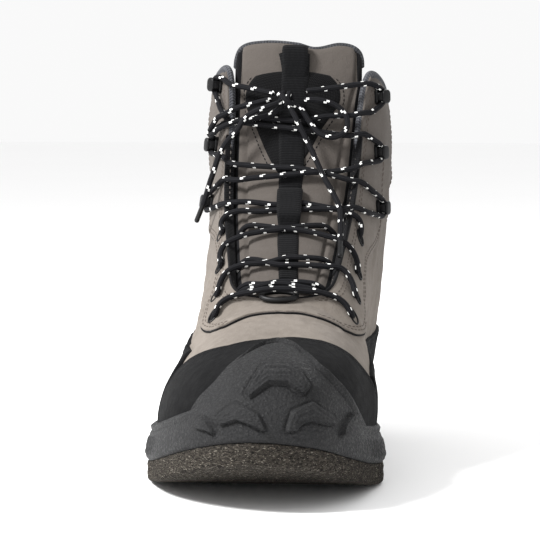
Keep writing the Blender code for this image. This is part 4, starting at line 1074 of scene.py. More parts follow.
def cap_relief(base):
    """Lift of the cap's outer face by its reliefs, in metres."""
    flat = base[..., [0, 2]] * 1000.0
    front = smoothstep(-0.20, -0.215, base[..., 1])
    total = np.zeros(base.shape[:-1])
    for corners in LUGS.values():
        depth = inside_outline(flat, corners)
        ribs = 0.22 * np.sin(2.0 * pi * depth / 1.7) * smoothstep(0.6, 1.2, depth)
        raised = (2.2 + ribs) * smoothstep(-0.25, 0.35, depth) - 0.5 * bump(depth, -0.8, 0.45)
        total = np.where(np.abs(raised) > np.abs(total), raised, total)
    return 0.001 * total * front


def foxing_profile(share):
    """Inset of the foxing's face at a share of its height: a lip at the top, a step low down."""
    insets = [0.0008, 0.0, 0.0002, 0.62 * FOXING_FLARE, FOXING_FLARE]
    lean = np.interp(share, [0.0, 0.08, 0.4, 0.86, 1.0], insets)
    lip = 0.0009 * bump(share, 0.93, 0.045)
    groove = 0.0005 * bump(share, 0.80, 0.035)
    step = 0.0004 * smoothstep(0.30, 0.26, share) * smoothstep(0.0, 0.08, share)
    return lean, groove - lip - step


def make_sole():
    """Foxing, toe cap with its reliefs and the deck inside, as one closed moulding."""
    fold = stations((0, 3.2, 170), (3.2, 6.0, 36), (6.0, 14, 64))
    t = np.concatenate([fold, LOOP - fold[-2:0:-1]])
    base = FELT + GAP
    lipped = 1.0 - smoothstep(0.03, 0.12, rubber_share(t) - foxing_share(t))
    nubs = 0.5 + 0.5 * np.cos(2.0 * pi * folded(t) / 0.24)
    nubs = smoothstep(0.55, 0.8, nubs) * smoothstep(3.2, 3.5, folded(t)) * smoothstep(13.4, 13.0, folded(t))
    rings = []
    for share in np.concatenate([[0.0, 0.03], np.linspace(0.07, 0.7, 22), np.linspace(0.715, 1.0, 15)]):
        band = smoothstep(0.10, 0.20, share) * smoothstep(0.68, 0.58, share)
        lean, detail = foxing_profile(share)
        inset = lean + detail * lipped - 0.0007 * nubs * band
        rings.append(outline(t, inset, base + share * FOXING_HEIGHT))
    low, high = foxing_share(t), rubber_share(t)
    front = smoothstep(0.05, 0.2, high - low)
    foxing_rows = len(rings)
    outwards = [outward_of(t)] * foxing_rows
    cover, rim = [], []
    rim_reach = np.where(t <= HEEL, smoothstep(0.75, 0.35, folded(t)), smoothstep(3.2, 2.4, folded(t)))
    for share in np.concatenate([np.linspace(0.0, 0.90, 88), np.linspace(0.906, 1.0, 22)]):
        v = low + (high - low) * share
        edge = run_edge(t, v, high)
        cover.append(smoothstep(0.0010, 0.0032, edge))
        ridge = 0.0014 * bump(edge, 0.0036, 0.0012)
        rim.append(rim_reach * (ridge - 0.0010 * bump(edge, 0.0066, 0.0008)))
        rings.append(side(t, v, -0.0008 + (CAP_WALL + 0.0008) * rounded(edge, 0.0024)))
        outwards.append(normal_of(t, v))
    face = soft_step(np.array(rings), foxing_rows, front)
    relief = cap_relief(face)
    relief[foxing_rows:] = relief[foxing_rows:] * np.array(cover) + np.array(rim)
    relief[:foxing_rows] *= front
    rings = list(face + relief[..., None] * np.array(outwards))
    rings += [side(t, high * share, -0.0012) for share in (0.9, 0.6, 0.3, 0.0)]
    rings.append(outline(t, FOOT_INSET + 0.001, base + DECK))
    count = len(t)
    faces = grid_faces(len(rings), count, wrap=True).tolist()
    last = (len(rings) - 1) * count
    for start in (0, last):
        for i in range(count // 2):
            opposite = (-i) % count
            strip = [start + i, start + i + 1, start + (opposite - 1) % count, start + opposite]
            faces.append(list(dict.fromkeys(strip)))
    sole = piece("cupsole_moulding", np.concatenate(rings), faces, RUBBER, "rubber")
    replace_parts(sole, "rubber_cupsole")


def soft_step(rings, row, weight):
    """The rings with the step at a row smoothed away, where weight is 1."""
    rings = rings.copy()
    near = np.exp(-(((np.arange(len(rings)) - row) / 13.0) ** 2))[1:-1, None] * weight[None, :]
    for _ in range(160):
        rings[1:-1] += 0.5 * near[..., None] * (0.5 * (rings[:-2] + rings[2:]) - rings[1:-1])
    return rings


def run_edge(t, v, high):
    """Distance in metres from height share v up to the edge at high, at each station."""
    return np.linalg.norm(side(t, v) - side(t, high), axis=-1)


def make_felt_pads():
    for name, middle, reach in (("felt_forefoot", 0, 6.9), ("felt_heel", HEEL, 4.4)):
        half = np.linspace(0.0, reach, 170)
        t = np.concatenate([middle - half[:0:-1], middle + half])
        rough = 0.00035 * np.sin(97.0 * t) * np.sin(41.0 * t + 1.3)
        rings = []
        for z, inset in ((0.0, 0.0020), (0.0002, 0.0014), (0.0007, 0.0008), (0.0014, 0.0006), (0.004, 0.0004),
                         (0.0065, 0.0007), (0.0085, 0.0004), (0.0098, 0.0007), (FELT, 0.0013)):
            rings.append(outline(t, inset + rough * smoothstep(0.0, 0.002, z), z))
        count = len(t)
        faces = grid_faces(len(rings), count).tolist()
        for start in (0, (len(rings) - 1) * count):
            for i in range(count // 2):
                faces.append([start + i, start + i + 1, start + count - 2 - i, start + count - 1 - i])
        faces = [list(dict.fromkeys(face)) for face in faces if len(set(face)) > 2]
        for k in range(len(rings) - 1):
            faces.append([(k + 1) * count - 1, k * count, (k + 1) * count, (k + 2) * count - 1])
        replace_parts(piece(f"{name}_pad", np.concatenate(rings), faces, FELT_LOOK, "felt"), name)


def make_overlays():
    """Rand, counter and both halves of the eyestay."""
    ends = (RAND_END["inner"], RAND_END["outer"])
    inner, outer = (np.linspace(0.0, end, int(end / 0.03)) for end in ends)
    t = np.concatenate([-inner[:0:-1], outer])

    def rand_high(t):
        return np.where(t >= 0.0, RAND_EDGE["outer"](np.abs(t)), RAND_EDGE["inner"](np.abs(t)))

    def rubber_low(high):
        return lambda t: np.minimum(rubber_share(t) - 0.03, high(t) - RAND_MARGIN)

    rand = plate("rand", t, rubber_low(rand_high), rand_high, CHARCOAL, "charcoal_nubuck")
    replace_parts(rand, "toe_rand")

    def counter_high(t):
        return np.where(t <= HEEL, COUNTER_EDGE["outer"](folded(t)), COUNTER_EDGE["inner"](folded(t)))

    t = np.linspace(RAND_END["outer"] + SEAM, LOOP - RAND_END["inner"] - SEAM, 330)
    counter = plate("counter", t, rubber_low(counter_high), counter_high, CHARCOAL, "charcoal_nubuck")
    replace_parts(counter, "heel_counter")
    for name, hand in SIDES.items():
        foot, leg = np.linspace(EYESTAY_START, 4.7, 40)[:-1], np.linspace(4.7, EYESTAY_END, 110)
        t = np.concatenate([foot, leg]) * hand

        def low(t, name=name):
            return EYESTAY_EDGE[name](np.abs(t))

        def high(t):
            return 1.0 - 0.008 * smoothstep(RIDGE - 0.1, RIDGE + 0.3, np.abs(t))

        stay = plate(f"eyestay_{name}", t if hand > 0 else t[::-1], low, high, TAUPE, "taupe_nubuck")
        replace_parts(stay, "eyestay")


def tongue_stations(rows, w):
    return np.minimum(rows, COLLAR) + np.clip(rows - COLLAR, 0.0, 1.0) * (TONGUE_TOP(w) - COLLAR)


def tongue_face(u, w, lift):
    """The padded tongue's front: fuller between its seams, dented along them and by the laces."""
    u, w = np.broadcast_arrays(np.asarray(u, float), np.asarray(w, float))
    puff = 0.0011 * (1.0 - np.abs(w) ** 4)
    seams = TONGUE_SEAMS(u)
    puff = puff - 0.0016 * bump(w, seams, 0.035) - 0.0016 * bump(w, -seams, 0.035)
    puff = (puff - 0.0009 * bump(u, 8.22, 0.035)) * smoothstep(6.0, 7.0, u)
    return tongue_front(u, w, puff - 0.0004 + np.asarray(lift, float))


def paint_gusset_and_shade(tongue, w):
    """The dark gusset and painted shade: the lining's finish on the tongue's back and beside its panel, where
    it is both gusset and the throat's deep shade.
    """
    columns = 2 * w.shape[1]
    # Painted shade: beside the panel the dark finish stands for the gusset and for the shade deep in the
    # throat
    gusset_and_shade = np.abs(np.concatenate([w[0], w[0, ::-1]])) > 0.76
    gusset_and_shade[w.shape[1] :] = True
    shown = np.tile(gusset_and_shade, len(tongue.data.polygons) // columns + 1)[: len(tongue.data.polygons)]
    tongue.data.polygons.foreach_set("material_index", shown.astype(np.int32))


def make_padded_tongue():
    rows = np.concatenate([np.linspace(4.7, 10.0, 90)[:-1], np.linspace(10.0, 11.0, 26)])[:, None]
    w = np.sin(np.linspace(-pi / 2, pi / 2, 91))[None, :] * 0.999
    u = tongue_stations(rows, w)
    top = np.clip((rows - 10.75) / 0.25, 0.0, 1.0)
    thick = TONGUE * np.sqrt(1.0 - top**2) * (0.12 + 0.88 * (1.0 - np.abs(w) ** 6)) + 1e-5
    front = tongue_face(u, w, -0.5 * TONGUE + 0.5 * thick)
    back = tongue_front(u, w, -0.5 * TONGUE - 0.5 * thick)
    tongue = slab("tongue_padding", front, back, [SHADED_TONGUE_TAUPE, LINING], "taupe_nubuck")
    paint_gusset_and_shade(tongue, w)
    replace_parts(tongue, "tongue")
    w = np.linspace(-0.97, 0.97, 120)
    line = tongue_front(tongue_stations(11.0, w), w, -0.5 * TONGUE)
    tube("tongue_piping", [even(line, 0.0006)], 0.0015, KNIT, "dark_cloth", sides=16)


def make_shield():
    rows = open_curve(SHIELD_ROWS)(np.linspace(0.0, len(SHIELD_ROWS) - 1, 60))
    share = np.sin(np.linspace(-pi / 2, pi / 2, 31))[None, :]
    w = SHIELD_MIDDLE + rows[:, 1:] * share
    u = rows[:, :1]
    edge = 1.0 - np.maximum(np.abs(share) ** 14, np.abs(np.linspace(-1, 1, 60))[:, None] ** 40)
    lift = 0.0002 + PATCH * np.clip(edge, 0.0, 1.0)
    shield = slab("shield", tongue_face(u, w, lift), tongue_front(u, w, -0.0012), TWILL, "black_webbing")
    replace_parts(shield, "tongue_patch")


def make_strap():
    """Ribbed webbing down the tongue, humped over one crossing, its top folded into a standing loop."""
    rows = open_curve(WEBBING_ROWS)(np.linspace(0.0, len(WEBBING_ROWS) - 1, 260))
    u, middle, half, hump = (rows[:, [column]] for column in range(4))
    base = 0.0002 + (PATCH + 0.0003) * smoothstep(8.25, 8.45, u)
    lift = base + KEEPER_RISE * hump
    share = np.linspace(-1.0, 1.0, 15)[None, :]
    w = middle + half * share
    crown = WEBBING * np.clip(1.0 - np.abs(share) ** 10, 0.0, 1.0)
    front = tongue_face(u, w, lift + crown)
    back = tongue_face(u, w, lift - 0.00012 * (1 - np.abs(share)))
    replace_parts(slab("strap", front, back, WEBBING_LOOK, "black_webbing"), "tongue_webbing")
    turn = np.linspace(0.0, 1.0, 40)[:, None]
    rise = np.sin(pi * turn)
    u = 9.86 + 0.50 * np.sin(pi * 0.5 * turn)
    w = -0.02 + 0.12 * share
    lift = 0.0016 + 0.0046 * rise
    slab("pull_loop", tongue_face(u, w, lift + crown), tongue_face(u, w, lift), WEBBING_LOOK, "black_webbing")


def add_box(work, size, place, matrix, radius, corner=0.0):
    """A box with rounded edges; corner rounds its outline seen from above, radius all its edges."""
    made = bmesh.new()
    bmesh.ops.create_cube(made, size=1.0)
    bmesh.ops.scale(made, vec=size, verts=made.verts)
    if corner:
        upright = [edge for edge in made.edges if abs(edge.verts[0].co.z - edge.verts[1].co.z) > 1e-5]
        bmesh.ops.bevel(made, geom=upright, offset=corner, segments=6, profile=0.5, affect="EDGES")
        level = [edge for edge in made.edges if abs(edge.verts[0].co.z - edge.verts[1].co.z) < 1e-6]
        level = [edge for edge in level if edge.calc_face_angle(0.0) > 1.0]
    else:
        level = list(made.edges)
    bmesh.ops.bevel(made, geom=level, offset=radius, segments=3, profile=0.5, affect="EDGES")
    bmesh.ops.transform(made, matrix=matrix @ Matrix.Translation(place), verts=made.verts)
    mesh = bpy.data.meshes.new("box")
    made.to_mesh(mesh)
    made.free()
    work.from_mesh(mesh)
    bpy.data.meshes.remove(mesh)


def frame_on_upper(t, v, lift):
    """A frame on the upper's surface: X towards the throat, Y up along it, Z outwards."""
    outward = Vector(normal_of(t, v))
    up = Vector((0.0, 0.0, 1.0))
    up = (up - outward * up.dot(outward)).normalized()
    matrix = Matrix((up.cross(outward).normalized(), up, outward)).transposed().to_4x4()
    matrix.translation = Vector(side(t, v, lift))
    return matrix


def hook_frame(name, number):
    t, v = HOOKS[name][number - 1]
    return frame_on_upper(SIDES[name] * t, v, OVERLAY_RISE + GAP)


def make_hook_pieces():
    foot, head = HOOK_FOOT, HOOK_HEAD
    neck = HOOK_HEIGHT - foot - head
    for name, hand in SIDES.items():
        for number in (1, 2, 3):
            matrix = hook_frame(name, number)
            inwards = hand * 0.3 * HOOK_WIDTH
            work = bmesh.new()
            foot_size = (HOOK_WIDTH, HOOK_LENGTH, foot + 0.0014)
            add_box(work, foot_size, (0, 0, 0.5 * foot - 0.0007), matrix, 0.0006, 0.0026)
            neck_size = (0.35 * HOOK_WIDTH, 0.5 * HOOK_LENGTH, neck + 0.0012)
            add_box(work, neck_size, (inwards, 0, foot + neck / 2), matrix, 0.0008)
            tilt = Matrix.Rotation(hand * radians(9.0), 4, "Y")
            place = Matrix.Translation((hand * 0.0012, 0.0, foot + neck + head / 2))
            head_size = (0.70 * HOOK_WIDTH, 0.80 * HOOK_LENGTH, head)
            add_box(work, head_size, (0, 0, 0), matrix @ place @ tilt, 0.0008,
                    0.0024)
            mesh = bpy.data.meshes.new(f"hook_{name}_{number}_moulding")
            bmesh.ops.recalc_face_normals(work, faces=work.faces)
            work.to_mesh(mesh)
            work.free()
            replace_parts(shown(mesh, PLASTIC, "black_plastic"), f"hook_{name}_{number}")


def make_ring_piece():
    middle, tilt = deck(*RING_PLACE), radians(RING_TILT)
    angles = np.linspace(0.0, 2.0 * pi, 97)
    wide, deep = (RING_WIDTH - RING_WIRE) / 2, (RING_DEPTH - RING_WIRE) / 2
    line = np.stack([wide * np.cos(angles), deep * np.sin(angles), 0.0 * angles], 1)
    line = line @ np.array([[1, 0, 0], [0, cos(tilt), sin(tilt)], [0, -sin(tilt), cos(tilt)]]) + middle
    rings, uv = swept(line, RING_WIRE / 2, 16)
    ring = piece("ring", rings, grid_faces(*rings.shape[:2]), PLASTIC, "black_plastic", uv, weld=1e-5)
    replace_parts(ring, "lace_ring")


def route_points(route):
    rows = np.array(route, float)
    rows[:, 2] *= LACE
    fine = open_curve(rows)(np.linspace(0, len(rows) - 1, 24 * len(rows)))
    return deck(fine[:, 0], fine[:, 1], fine[:, 2])


def hook_wrap(name, number):
    """Points of a lace, from below upwards, round the far side of a hook's neck and under its head."""
    matrix = hook_frame(name, number)
    line = np.array([(3.2, -4.6), (1.3, -4.0), (-0.2, -2.7), (-0.75, -1.2), (-0.8, 0.0),
                     (-0.75, 1.2), (-0.2, 2.7), (1.3, 4.0), (3.2, 4.6)]) * 0.001
    return np.array([matrix @ Vector((SIDES[name] * x, y, HOOK_FOOT + 0.5 * LACE)) for x, y in line])


def into_slot(name, number):
    """Points that lead a lace down into a slot."""
    t, v = SLOTS[name][number - 1]
    hand = SIDES[name]
    return np.array([side(hand * t, v, lift) for lift in (0.0020, 0.0002, -0.0030)])


def under_edge(route, end):
    """Points that lead a lace from its route's end on under the throat's edge."""
    u, w, lift = route[end]
    return np.array([deck(u, w + np.sign(w) * step, (lift + drop) * LACE)
                     for step, drop in ((0.10, -0.35), (0.22, -0.8), (0.36, -1.3))])


# Ends of strands that go on round a hook, and those that go down into a slot, by crossing, strand and end
HOOK_ENDS = {
    ("lace_cross_4", 0, -1), ("lace_cross_4", 1, -1), ("lace_cross_5", 0, 0), ("lace_cross_5", 0, -1),
    ("lace_cross_5", 1, 0), ("lace_cross_5", 1, -1), ("lace_cross_6", 0, 0), ("lace_cross_6", 0, -1),
    ("lace_cross_6", 1, 0), ("lace_cross_6", 1, -1), ("lace_top_outer", 0, 0), ("lace_top_inner", 0, 0),
}
SLOT_ENDS = {
    ("lace_bar", 0, 0): ("outer", 1), ("lace_bar", 0, -1): ("inner", 1), ("lace_cross_2", 0, 0): ("outer", 2),
    ("lace_cross_2", 1, 0): ("inner", 2), ("lace_cross_3", 0, 0): ("outer", 3),
    ("lace_cross_3", 1, 0): ("inner", 3), ("lace_cross_4", 0, 0): ("outer", 4),
    ("lace_cross_4", 1, 0): ("inner", 4),
}
# The laces as they run: strands of the crossings, with a minus for one taken backwards, and the hooks
# between them, where HOOK_CUT points of each strand make way for the turn. LACE_PACE spaces their points.
HOOK_CUT = 14
LACE_PACE = 0.0011
CHAINS = [
    ["lace_bar:0"], ["lace_cross_1:0"], ["lace_cross_1:1"], ["lace_cross_2:0"], ["lace_cross_2:1"],
    ["lace_cross_3:0"], ["lace_cross_3:1"],
    ["lace_cross_4:0", ("inner", 3), "-lace_cross_5:0", ("outer", 2), "lace_cross_6:0", ("inner", 1),
     "lace_top_inner:0"],
    ["lace_cross_4:1", ("outer", 3), "lace_cross_5:1", ("inner", 2), "-lace_cross_6:1", ("outer", 1),
     "lace_top_outer:0"],
]


def strand(key):
    """Points of one strand of a crossing, led on into its slot or under the throat's edge."""
    turned = key.startswith("-")
    name, number = key.lstrip("-").split(":")
    number = int(number)
    route = CROSSINGS[name][number]
    line = route_points(route)
    for end in (0, -1):
        slot = SLOT_ENDS.get((name, number, end))
        added = None
        if slot:
            added = into_slot(*slot)
        elif (name, number, end) not in HOOK_ENDS and not name.startswith("lace_top"):
            added = under_edge(route, end)
        if added is not None:
            line = np.concatenate([added[::-1], line]) if end == 0 else np.concatenate([line, added])
    return line[::-1] if turned else line


def make_laced_part():
    lines = []
    for chain in CHAINS:
        parts = []
        for link in chain:
            if isinstance(link, str):
                line = strand(link)
                if len(chain) > 1:
                    first = HOOK_CUT if link != chain[0] else 0
                    last = len(line) - (HOOK_CUT if link != chain[-1] else 0)
                    line = line[first:last]
                parts.append(line)
            else:
                parts.append(hook_wrap(*link))
        line = even(np.concatenate(parts), 0.0012)
        lines.append(even(smooth(line, 6), LACE_PACE))
    laces = tube("laced_strands", lines, LACE / 2, LACE_LOOK, "lace")
    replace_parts(laces, *CROSSINGS)


def trimmed(points, end):
    """The route without what lies inside the knot or near it, and with a new end at the knot."""
    distance = np.linalg.norm((points - deck(*KNOT_PLACE)) / np.array(KNOT_RADII), axis=1)
    kept = points[distance > 1.7]
    place = from_knot(kept[end])
    return np.concatenate([[place], kept]) if end == 0 else np.concatenate([kept, [place]])


def from_knot(point):
    """The place just outside the knot, on the line from its middle to the point."""
    middle = deck(*KNOT_PLACE)
    away = (point - middle) / np.linalg.norm(point - middle)
    radius = 1.0 / np.linalg.norm(away / np.array(KNOT_RADII))
    return middle + away * (radius - 0.0012)


def make_bow():
    middle = Vector(deck(*KNOT_PLACE))
    turn = np.linspace(0.0, 2.0 * pi * 1.9, 70)
    share = turn / turn[-1]
    wrap = np.stack([-0.0031 + 0.0062 * share, -0.0030 * np.cos(turn), 0.0033 * np.sin(turn)], 1)
    cross = np.array([(-0.0042, -0.0026, 0.0030), (-0.0016, -0.0052, 0.0012), (0.0012, -0.0050, -0.0014),
                      (0.0040, -0.0022, -0.0032)])
    cross = open_curve(cross)(np.linspace(0, 3, 30))
    lines = [wrap + np.array(middle), cross + np.array(middle)]
    knot = tube("bow_knot", [even(line, 0.0008) for line in lines], LACE / 2, LACE_LOOK, "lace")
    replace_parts(knot, "lace_knot")
    for name, route in BOW.items():
        loop = "loop" in name
        line = route_points(route)
        line = trimmed(line, 0)
        if loop:
            line = trimmed(line, -1)
        line = even(smooth(even(line, 0.0012), 4), LACE_PACE)
        pieces = [knot] if name == "lace_loop_outer" else []
        radius = np.full(len(line), LACE / 2)
        if not loop:
            bare = len(line) - int(AGLET / LACE_PACE)
            end = line[bare - 2 :]
            tip = tube(f"{name}_tip", [end], 0.00135, PLASTIC, "black_plastic")
            pieces.append(tip)
            radius[bare:] = 0.00105
        obj = tube(name.replace("lace_", "bow_"), [line], radius, LACE_LOOK, "lace")
        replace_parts(obj, name)
        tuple(line[0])


def stitch_template():
    rings = [(-0.5, 0.25), (-0.32, 0.9), (0.0, 1.0), (0.32, 0.9), (0.5, 0.25)]
    angles = np.linspace(0.0, 2.0 * pi, 7)[:-1]
    points = np.array([[x, r * cos(a), r * sin(a)] for x, r in rings for a in angles])
    faces = grid_faces(len(rings), 6, wrap=True).tolist()
    faces += [list(range(6)), list(range(len(points) - 6, len(points)))]
    return points, faces


def stitch_row(lines, pitch=0.0029, length=0.0021, thick=0.00033):
    """Frames of stitches along lines of points and normals: place, along, across, out."""
    frames = []
    for line, normals in lines:
        run = run_length(line, 0)
        places = np.arange(0.5 * pitch, run[-1], pitch)
        at = [np.interp(places, run, line[:, axis]) for axis in range(3)]
        out = np.stack([np.interp(places, run, normals[:, axis]) for axis in range(3)], 1)
        ahead = np.stack([np.interp(places + 0.0005, run, line[:, axis]) for axis in range(3)], 1)
        behind = np.stack([np.interp(places - 0.0005, run, line[:, axis]) for axis in range(3)], 1)
        along = ahead - behind
        along /= np.maximum(np.linalg.norm(along, axis=1, keepdims=True), 1e-9)
        out -= along * (along * out).sum(1, keepdims=True)
        out /= np.linalg.norm(out, axis=1, keepdims=True)
        frames.append((np.stack(at, 1), along * length, np.cross(out, along) * thick, out * thick * 0.8))
    return frames


def make_eyestay_shadow_line():
    """A painted shadow line under the eyestay's edge: a dark cord from one side's hooks round the vamp to the
    other's.
    """
    t = np.linspace(EYESTAY_END, EYESTAY_START, 260)
    sides = [(hand * t, EYESTAY_EDGE[name](t)) for name, hand in SIDES.items()]
    (outer_t, outer_v), (inner_t, inner_v) = sides
    stations_round = np.concatenate([outer_t, [EYESTAY_START, -EYESTAY_START], inner_t[::-1]])
    heights_round = np.concatenate([outer_v, [0.985, 0.985], inner_v[::-1]])
    line, _ = upper_line(stations_round, heights_round, 0.0004)
    # Painted shadow: the dark cord stands for the shade under the eyestay's lower edge
    tube("eyestay_shadow_line", [even(line, 0.0015)], 0.0006, DARK_THREAD, "dark_cloth", sides=8)


def make_stitches(name, frames, finish):
    template, faces = stitch_template()
    points, all_faces, start = [], [], 0
    for place, along, across, out in frames:
        made = (place[:, None] + template[None, :, :1] * along[:, None]
                + template[None, :, 1:2] * across[:, None]
                + template[None, :, 2:] * out[:, None])
        for _ in range(len(place)):
            all_faces += [[start + corner for corner in face] for face in faces]
            start += len(template)
        points.append(made.reshape(-1, 3))
    return piece(name, np.concatenate(points), all_faces, finish, "dark_cloth")


def upper_line(t, v, lift):
    t, v = np.broadcast_arrays(np.asarray(t, float), np.asarray(v, float))
    base = side(t, v)
    return side(t, v, lift + creases(t, v, base)), normal_of(t, v)


def lowered(curve, t, distance):
    """The overlay's edge at each station, moved down (or up, if negative) the surface by a distance."""
    v = curve(np.abs(t))
    pace = np.linalg.norm(side(t, v) - side(t, v - STEP), axis=-1) / STEP
    return v - distance / pace


def make_seams():
    """Rows of stitches along the overlays, the collar, the quarters, the back seam and the shield."""
    pale, dark = [], []
    for name, hand in SIDES.items():
        end = RAND_END[name]
        for rows, curve, first, last, steps, lift, distances in (
            (pale, EYESTAY_EDGE[name], 4.35, 10.1, 200, OVERLAY_RISE, (-0.0024, -0.0044)),
            (pale, lambda s: 0.0 * s + 0.985, 5.6, 10.2, 170, OVERLAY_RISE, (0.0042, 0.0062)),
            (dark, RAND_EDGE[name], 0.9, end - 0.15, 150, OVERLAY_RISE, (0.0024, 0.0044)),
            (dark, COUNTER_EDGE[name], end + 0.2, 14.0, 200, OVERLAY_RISE, (0.0024, 0.0044)),
            (pale, lambda s: 0.0 * s + 0.99, 10.4, 14.0, 110, 0.0, (0.0075,)),
        ):
            t = np.linspace(first, last, steps) * hand
            rows += [upper_line(t, lowered(curve, t, distance), lift) for distance in distances]
        v = np.linspace(0.50, 0.90, 90)
        for shift in (0.0, 0.09):
            pale.append(upper_line(hand * (11.35 + shift + 0.5 * (v - 0.5)), v, 0.0))
            dark.append(upper_line(hand * (13.72 + shift), v * 0.98, 0.0))
    make_stitches("seam_thread", stitch_row(pale), THREAD)
    make_stitches("dark_seam_thread", stitch_row(dark), DARK_THREAD)
    rows = open_curve(SHIELD_ROWS)(np.linspace(1.0, len(SHIELD_ROWS) - 1, 120))
    lines = []
    for hand in (1.0, -1.0):
        w = SHIELD_MIDDLE + hand * (rows[:, 1] + 0.055)
        line = tongue_face(rows[:, 0], w, 0.0001)
        lines.append((line, tongue_face(rows[:, 0], w, 1.0) - tongue_face(rows[:, 0], w, 0.0)))
    make_stitches("shield_thread", stitch_row(lines, 0.0024, 0.0017, 0.0003), DARK_THREAD)


def make_binding():
    """Knit binding that rolls over the collar's edge and ends on both sides of the throat."""
    t = np.concatenate([np.linspace(8.7, 14.0, 190)[:-1], np.linspace(14.0, LOOP - 8.7, 190)])
    middle = side(t, 0.992, -0.5 * WALL)
    lean = normal_of(t, 0.985)
    up = side(t, 0.985) - side(t, 0.975)
    up /= np.linalg.norm(up, axis=-1, keepdims=True)
    angles = np.linspace(0.0, 2.0 * pi, 19)
    fade = smoothstep(8.7, 9.3, folded(t))[:, None, None]
    rings = middle[:, None] + (0.4 + 0.6 * fade) * (
        np.cos(angles)[None, :, None] * lean[:, None] * 0.0020
        + np.sin(angles)[None, :, None] * up[:, None] * 0.0024
    ) - up[:, None] * 0.0008
    run = run_length(middle, 0)
    uv = np.stack(np.broadcast_arrays(run[:, None], angles[None, :] * 0.0026), -1)
    faces = grid_faces(*rings.shape[:2])
    ends = [list(range(18))[::-1], [(len(t) - 1) * 19 + i for i in range(18)]]
    piece("collar_binding", rings, faces.tolist() + ends, KNIT, "dark_cloth", uv)


def make_throat_tape():
    """Dark folded tape that edges the throat, from its base up to the knit binding."""
    over = OVERLAY_RISE
    half = np.linspace(RIDGE + 0.02, 9.2, 170)
    t = np.concatenate([-half[::-1], half])
    rows = [(0.978, over + 0.0002), (0.984, over + 0.0007), (0.993, over + 0.0009), (1.0, over + 0.0005),
            (1.0, -0.0006), (1.0, -WALL - 0.0004), (0.985, -WALL - 0.0009), (0.955, -WALL - 0.0008)]
    fine = open_curve(rows)(np.linspace(0.0, len(rows) - 1, 30))
    outer = side(t[None, :], fine[:, :1], fine[:, 1:])
    inner = side(t[None, :], fine[:, :1] - 0.006, np.clip(fine[:, 1:], -WALL + 0.0003, over - 0.0004))
    for part, columns in (("inner", slice(0, len(half))), ("outer", slice(len(half), None))):
        slab(f"throat_tape_{part}", outer[:, columns], inner[:, columns], LINING, "dark_cloth")


def make_collar_padding():
    """Foam under lining cloth inside the collar, from the binding down."""
    t = np.linspace(10.7, LOOP - 10.7, 190)
    fade = np.clip(smoothstep(10.7, 11.9, folded(t)), 0.02, 1.0)[None, :]
    v = np.array([0.985, 0.975, 0.95, 0.91, 0.86, 0.81, 0.76, 0.72, 0.69, 0.67, 0.66])[:, None]
    full = np.array([0.1, 0.45, 0.8, 1.0, 0.97, 0.9, 0.85, 0.75, 0.55, 0.25, 0.05])[:, None]
    fine = np.linspace(0.0, 10.0, 60)
    rows = open_curve(np.concatenate([v, full], 1))(fine)
    v, full = rows[:, :1], rows[:, 1:]
    front = side(t[None, :], v, -(WALL + 0.0001 + 0.0058 * full * fade))
    back = side(t[None, :], v, 0.0006 - WALL)
    pad = slab("collar_padding", front, back, LINING, "dark_cloth")


def oval(matrix, wide, high, out, count):
    """Points round an oval in a frame on the upper, the last one on the first."""
    angles = np.linspace(0.0, 2.0 * pi, count)
    return [tuple(matrix @ Vector((wide * cos(a), high * sin(a), out))) for a in angles]


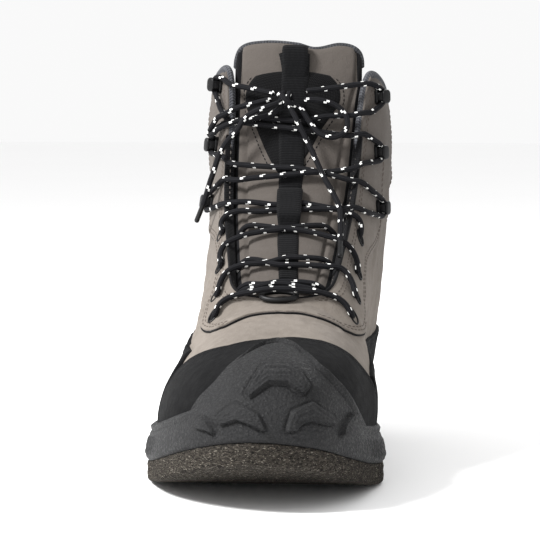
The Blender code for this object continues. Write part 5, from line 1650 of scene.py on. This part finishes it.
def make_slot_rims():
    """Oval stitched-in eyelets round the lace slots, and their dark openings."""
    rims, points, faces = [], [], []
    around = 24
    for name, hand in SIDES.items():
        for t, v in SLOTS[name]:
            matrix = frame_on_upper(hand * t, v, OVERLAY_RISE)
            rims.append(swept(np.array(oval(matrix, 0.0023, 0.0043, 0.0001, 41)), 0.00055, 8)[0])
            start = len(points)
            for out in (0.00006, -0.0006):
                points += oval(matrix, 0.0022, 0.0042, out, around + 1)[:-1]
            front, back = (list(range(first, first + around)) for first in (start, start + around))
            faces += [front, back[::-1]]
            faces += [list(face) for face in zip(front, back, back[1:] + back[:1], front[1:] + front[:1])]
    piece("slot_rims", *joined(rims), PLASTIC, "black_plastic", weld=1e-5)
    piece("slot_openings", points, faces, LINING, "dark_cloth")

# The last colour of each taupe nubuck is the painted shade up its shaft
TAUPE = nubuck("taupe nubuck", shade(123, 116, 109), shade(106, 99, 92), shade(135, 128, 121), 0.03,
               shade(84, 79, 75))
# Painted shade: the tongue's nubuck is a darker copy of the taupe, for the shade on the shaft's front
SHADED_TONGUE_TAUPE = nubuck("shaded tongue nubuck", shade(85, 80, 76), shade(70, 65, 61), shade(94, 88, 84), 0.03,
                      shade(78, 73, 69))
CHARCOAL = nubuck("charcoal nubuck", shade(15, 15, 16), shade(9, 9, 10), shade(24, 23, 24), 0.01)
RUBBER = rubber_look("moulded rubber")
FELT_LOOK = felt_look("needled felt")
LINING = cloth_look("lining cloth", shade(20, 20, 22), shade(10, 10, 11), 900.0, 900.0, 0.0002)
KNIT = cloth_look("knit binding", shade(84, 85, 89), shade(40, 41, 44), 620.0, 380.0, 0.0004, 0.05)
TWILL = cloth_look("black twill", shade(15, 15, 16), shade(6, 6, 7), 1100.0, 600.0, 0.0003)
WEBBING_LOOK = cloth_look("ribbed webbing", shade(18, 18, 20), shade(5, 5, 6), 1500.0, 700.0, 0.0004)
LACE_LOOK = lace_look("braided lace")
PLASTIC = plastic_look("satin plastic")
THREAD = cloth_look("thread", shade(92, 84, 78), shade(62, 56, 52), 900.0, 900.0, 0.0001)
DARK_THREAD = cloth_look("dark thread", shade(22, 22, 24), shade(10, 10, 11), 900.0, 900.0, 0.0001)
INSOLE_LOOK = cloth_look("insole cloth", shade(48, 49, 53), shade(30, 30, 33), 700.0, 700.0, 0.0003)

make_camera()
make_lights()
make_floor()
make_laced_part()
make_bow()
make_skin()
make_sole()
make_felt_pads()
make_overlays()
make_padded_tongue()
make_shield()
make_strap()
make_hook_pieces()
make_ring_piece()
make_slot_rims()
make_binding()
make_throat_tape()
make_collar_padding()
make_seams()
make_eyestay_shadow_line()
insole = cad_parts["insole"]
insole.data.materials.clear()
insole.data.materials.append(INSOLE_LOOK)
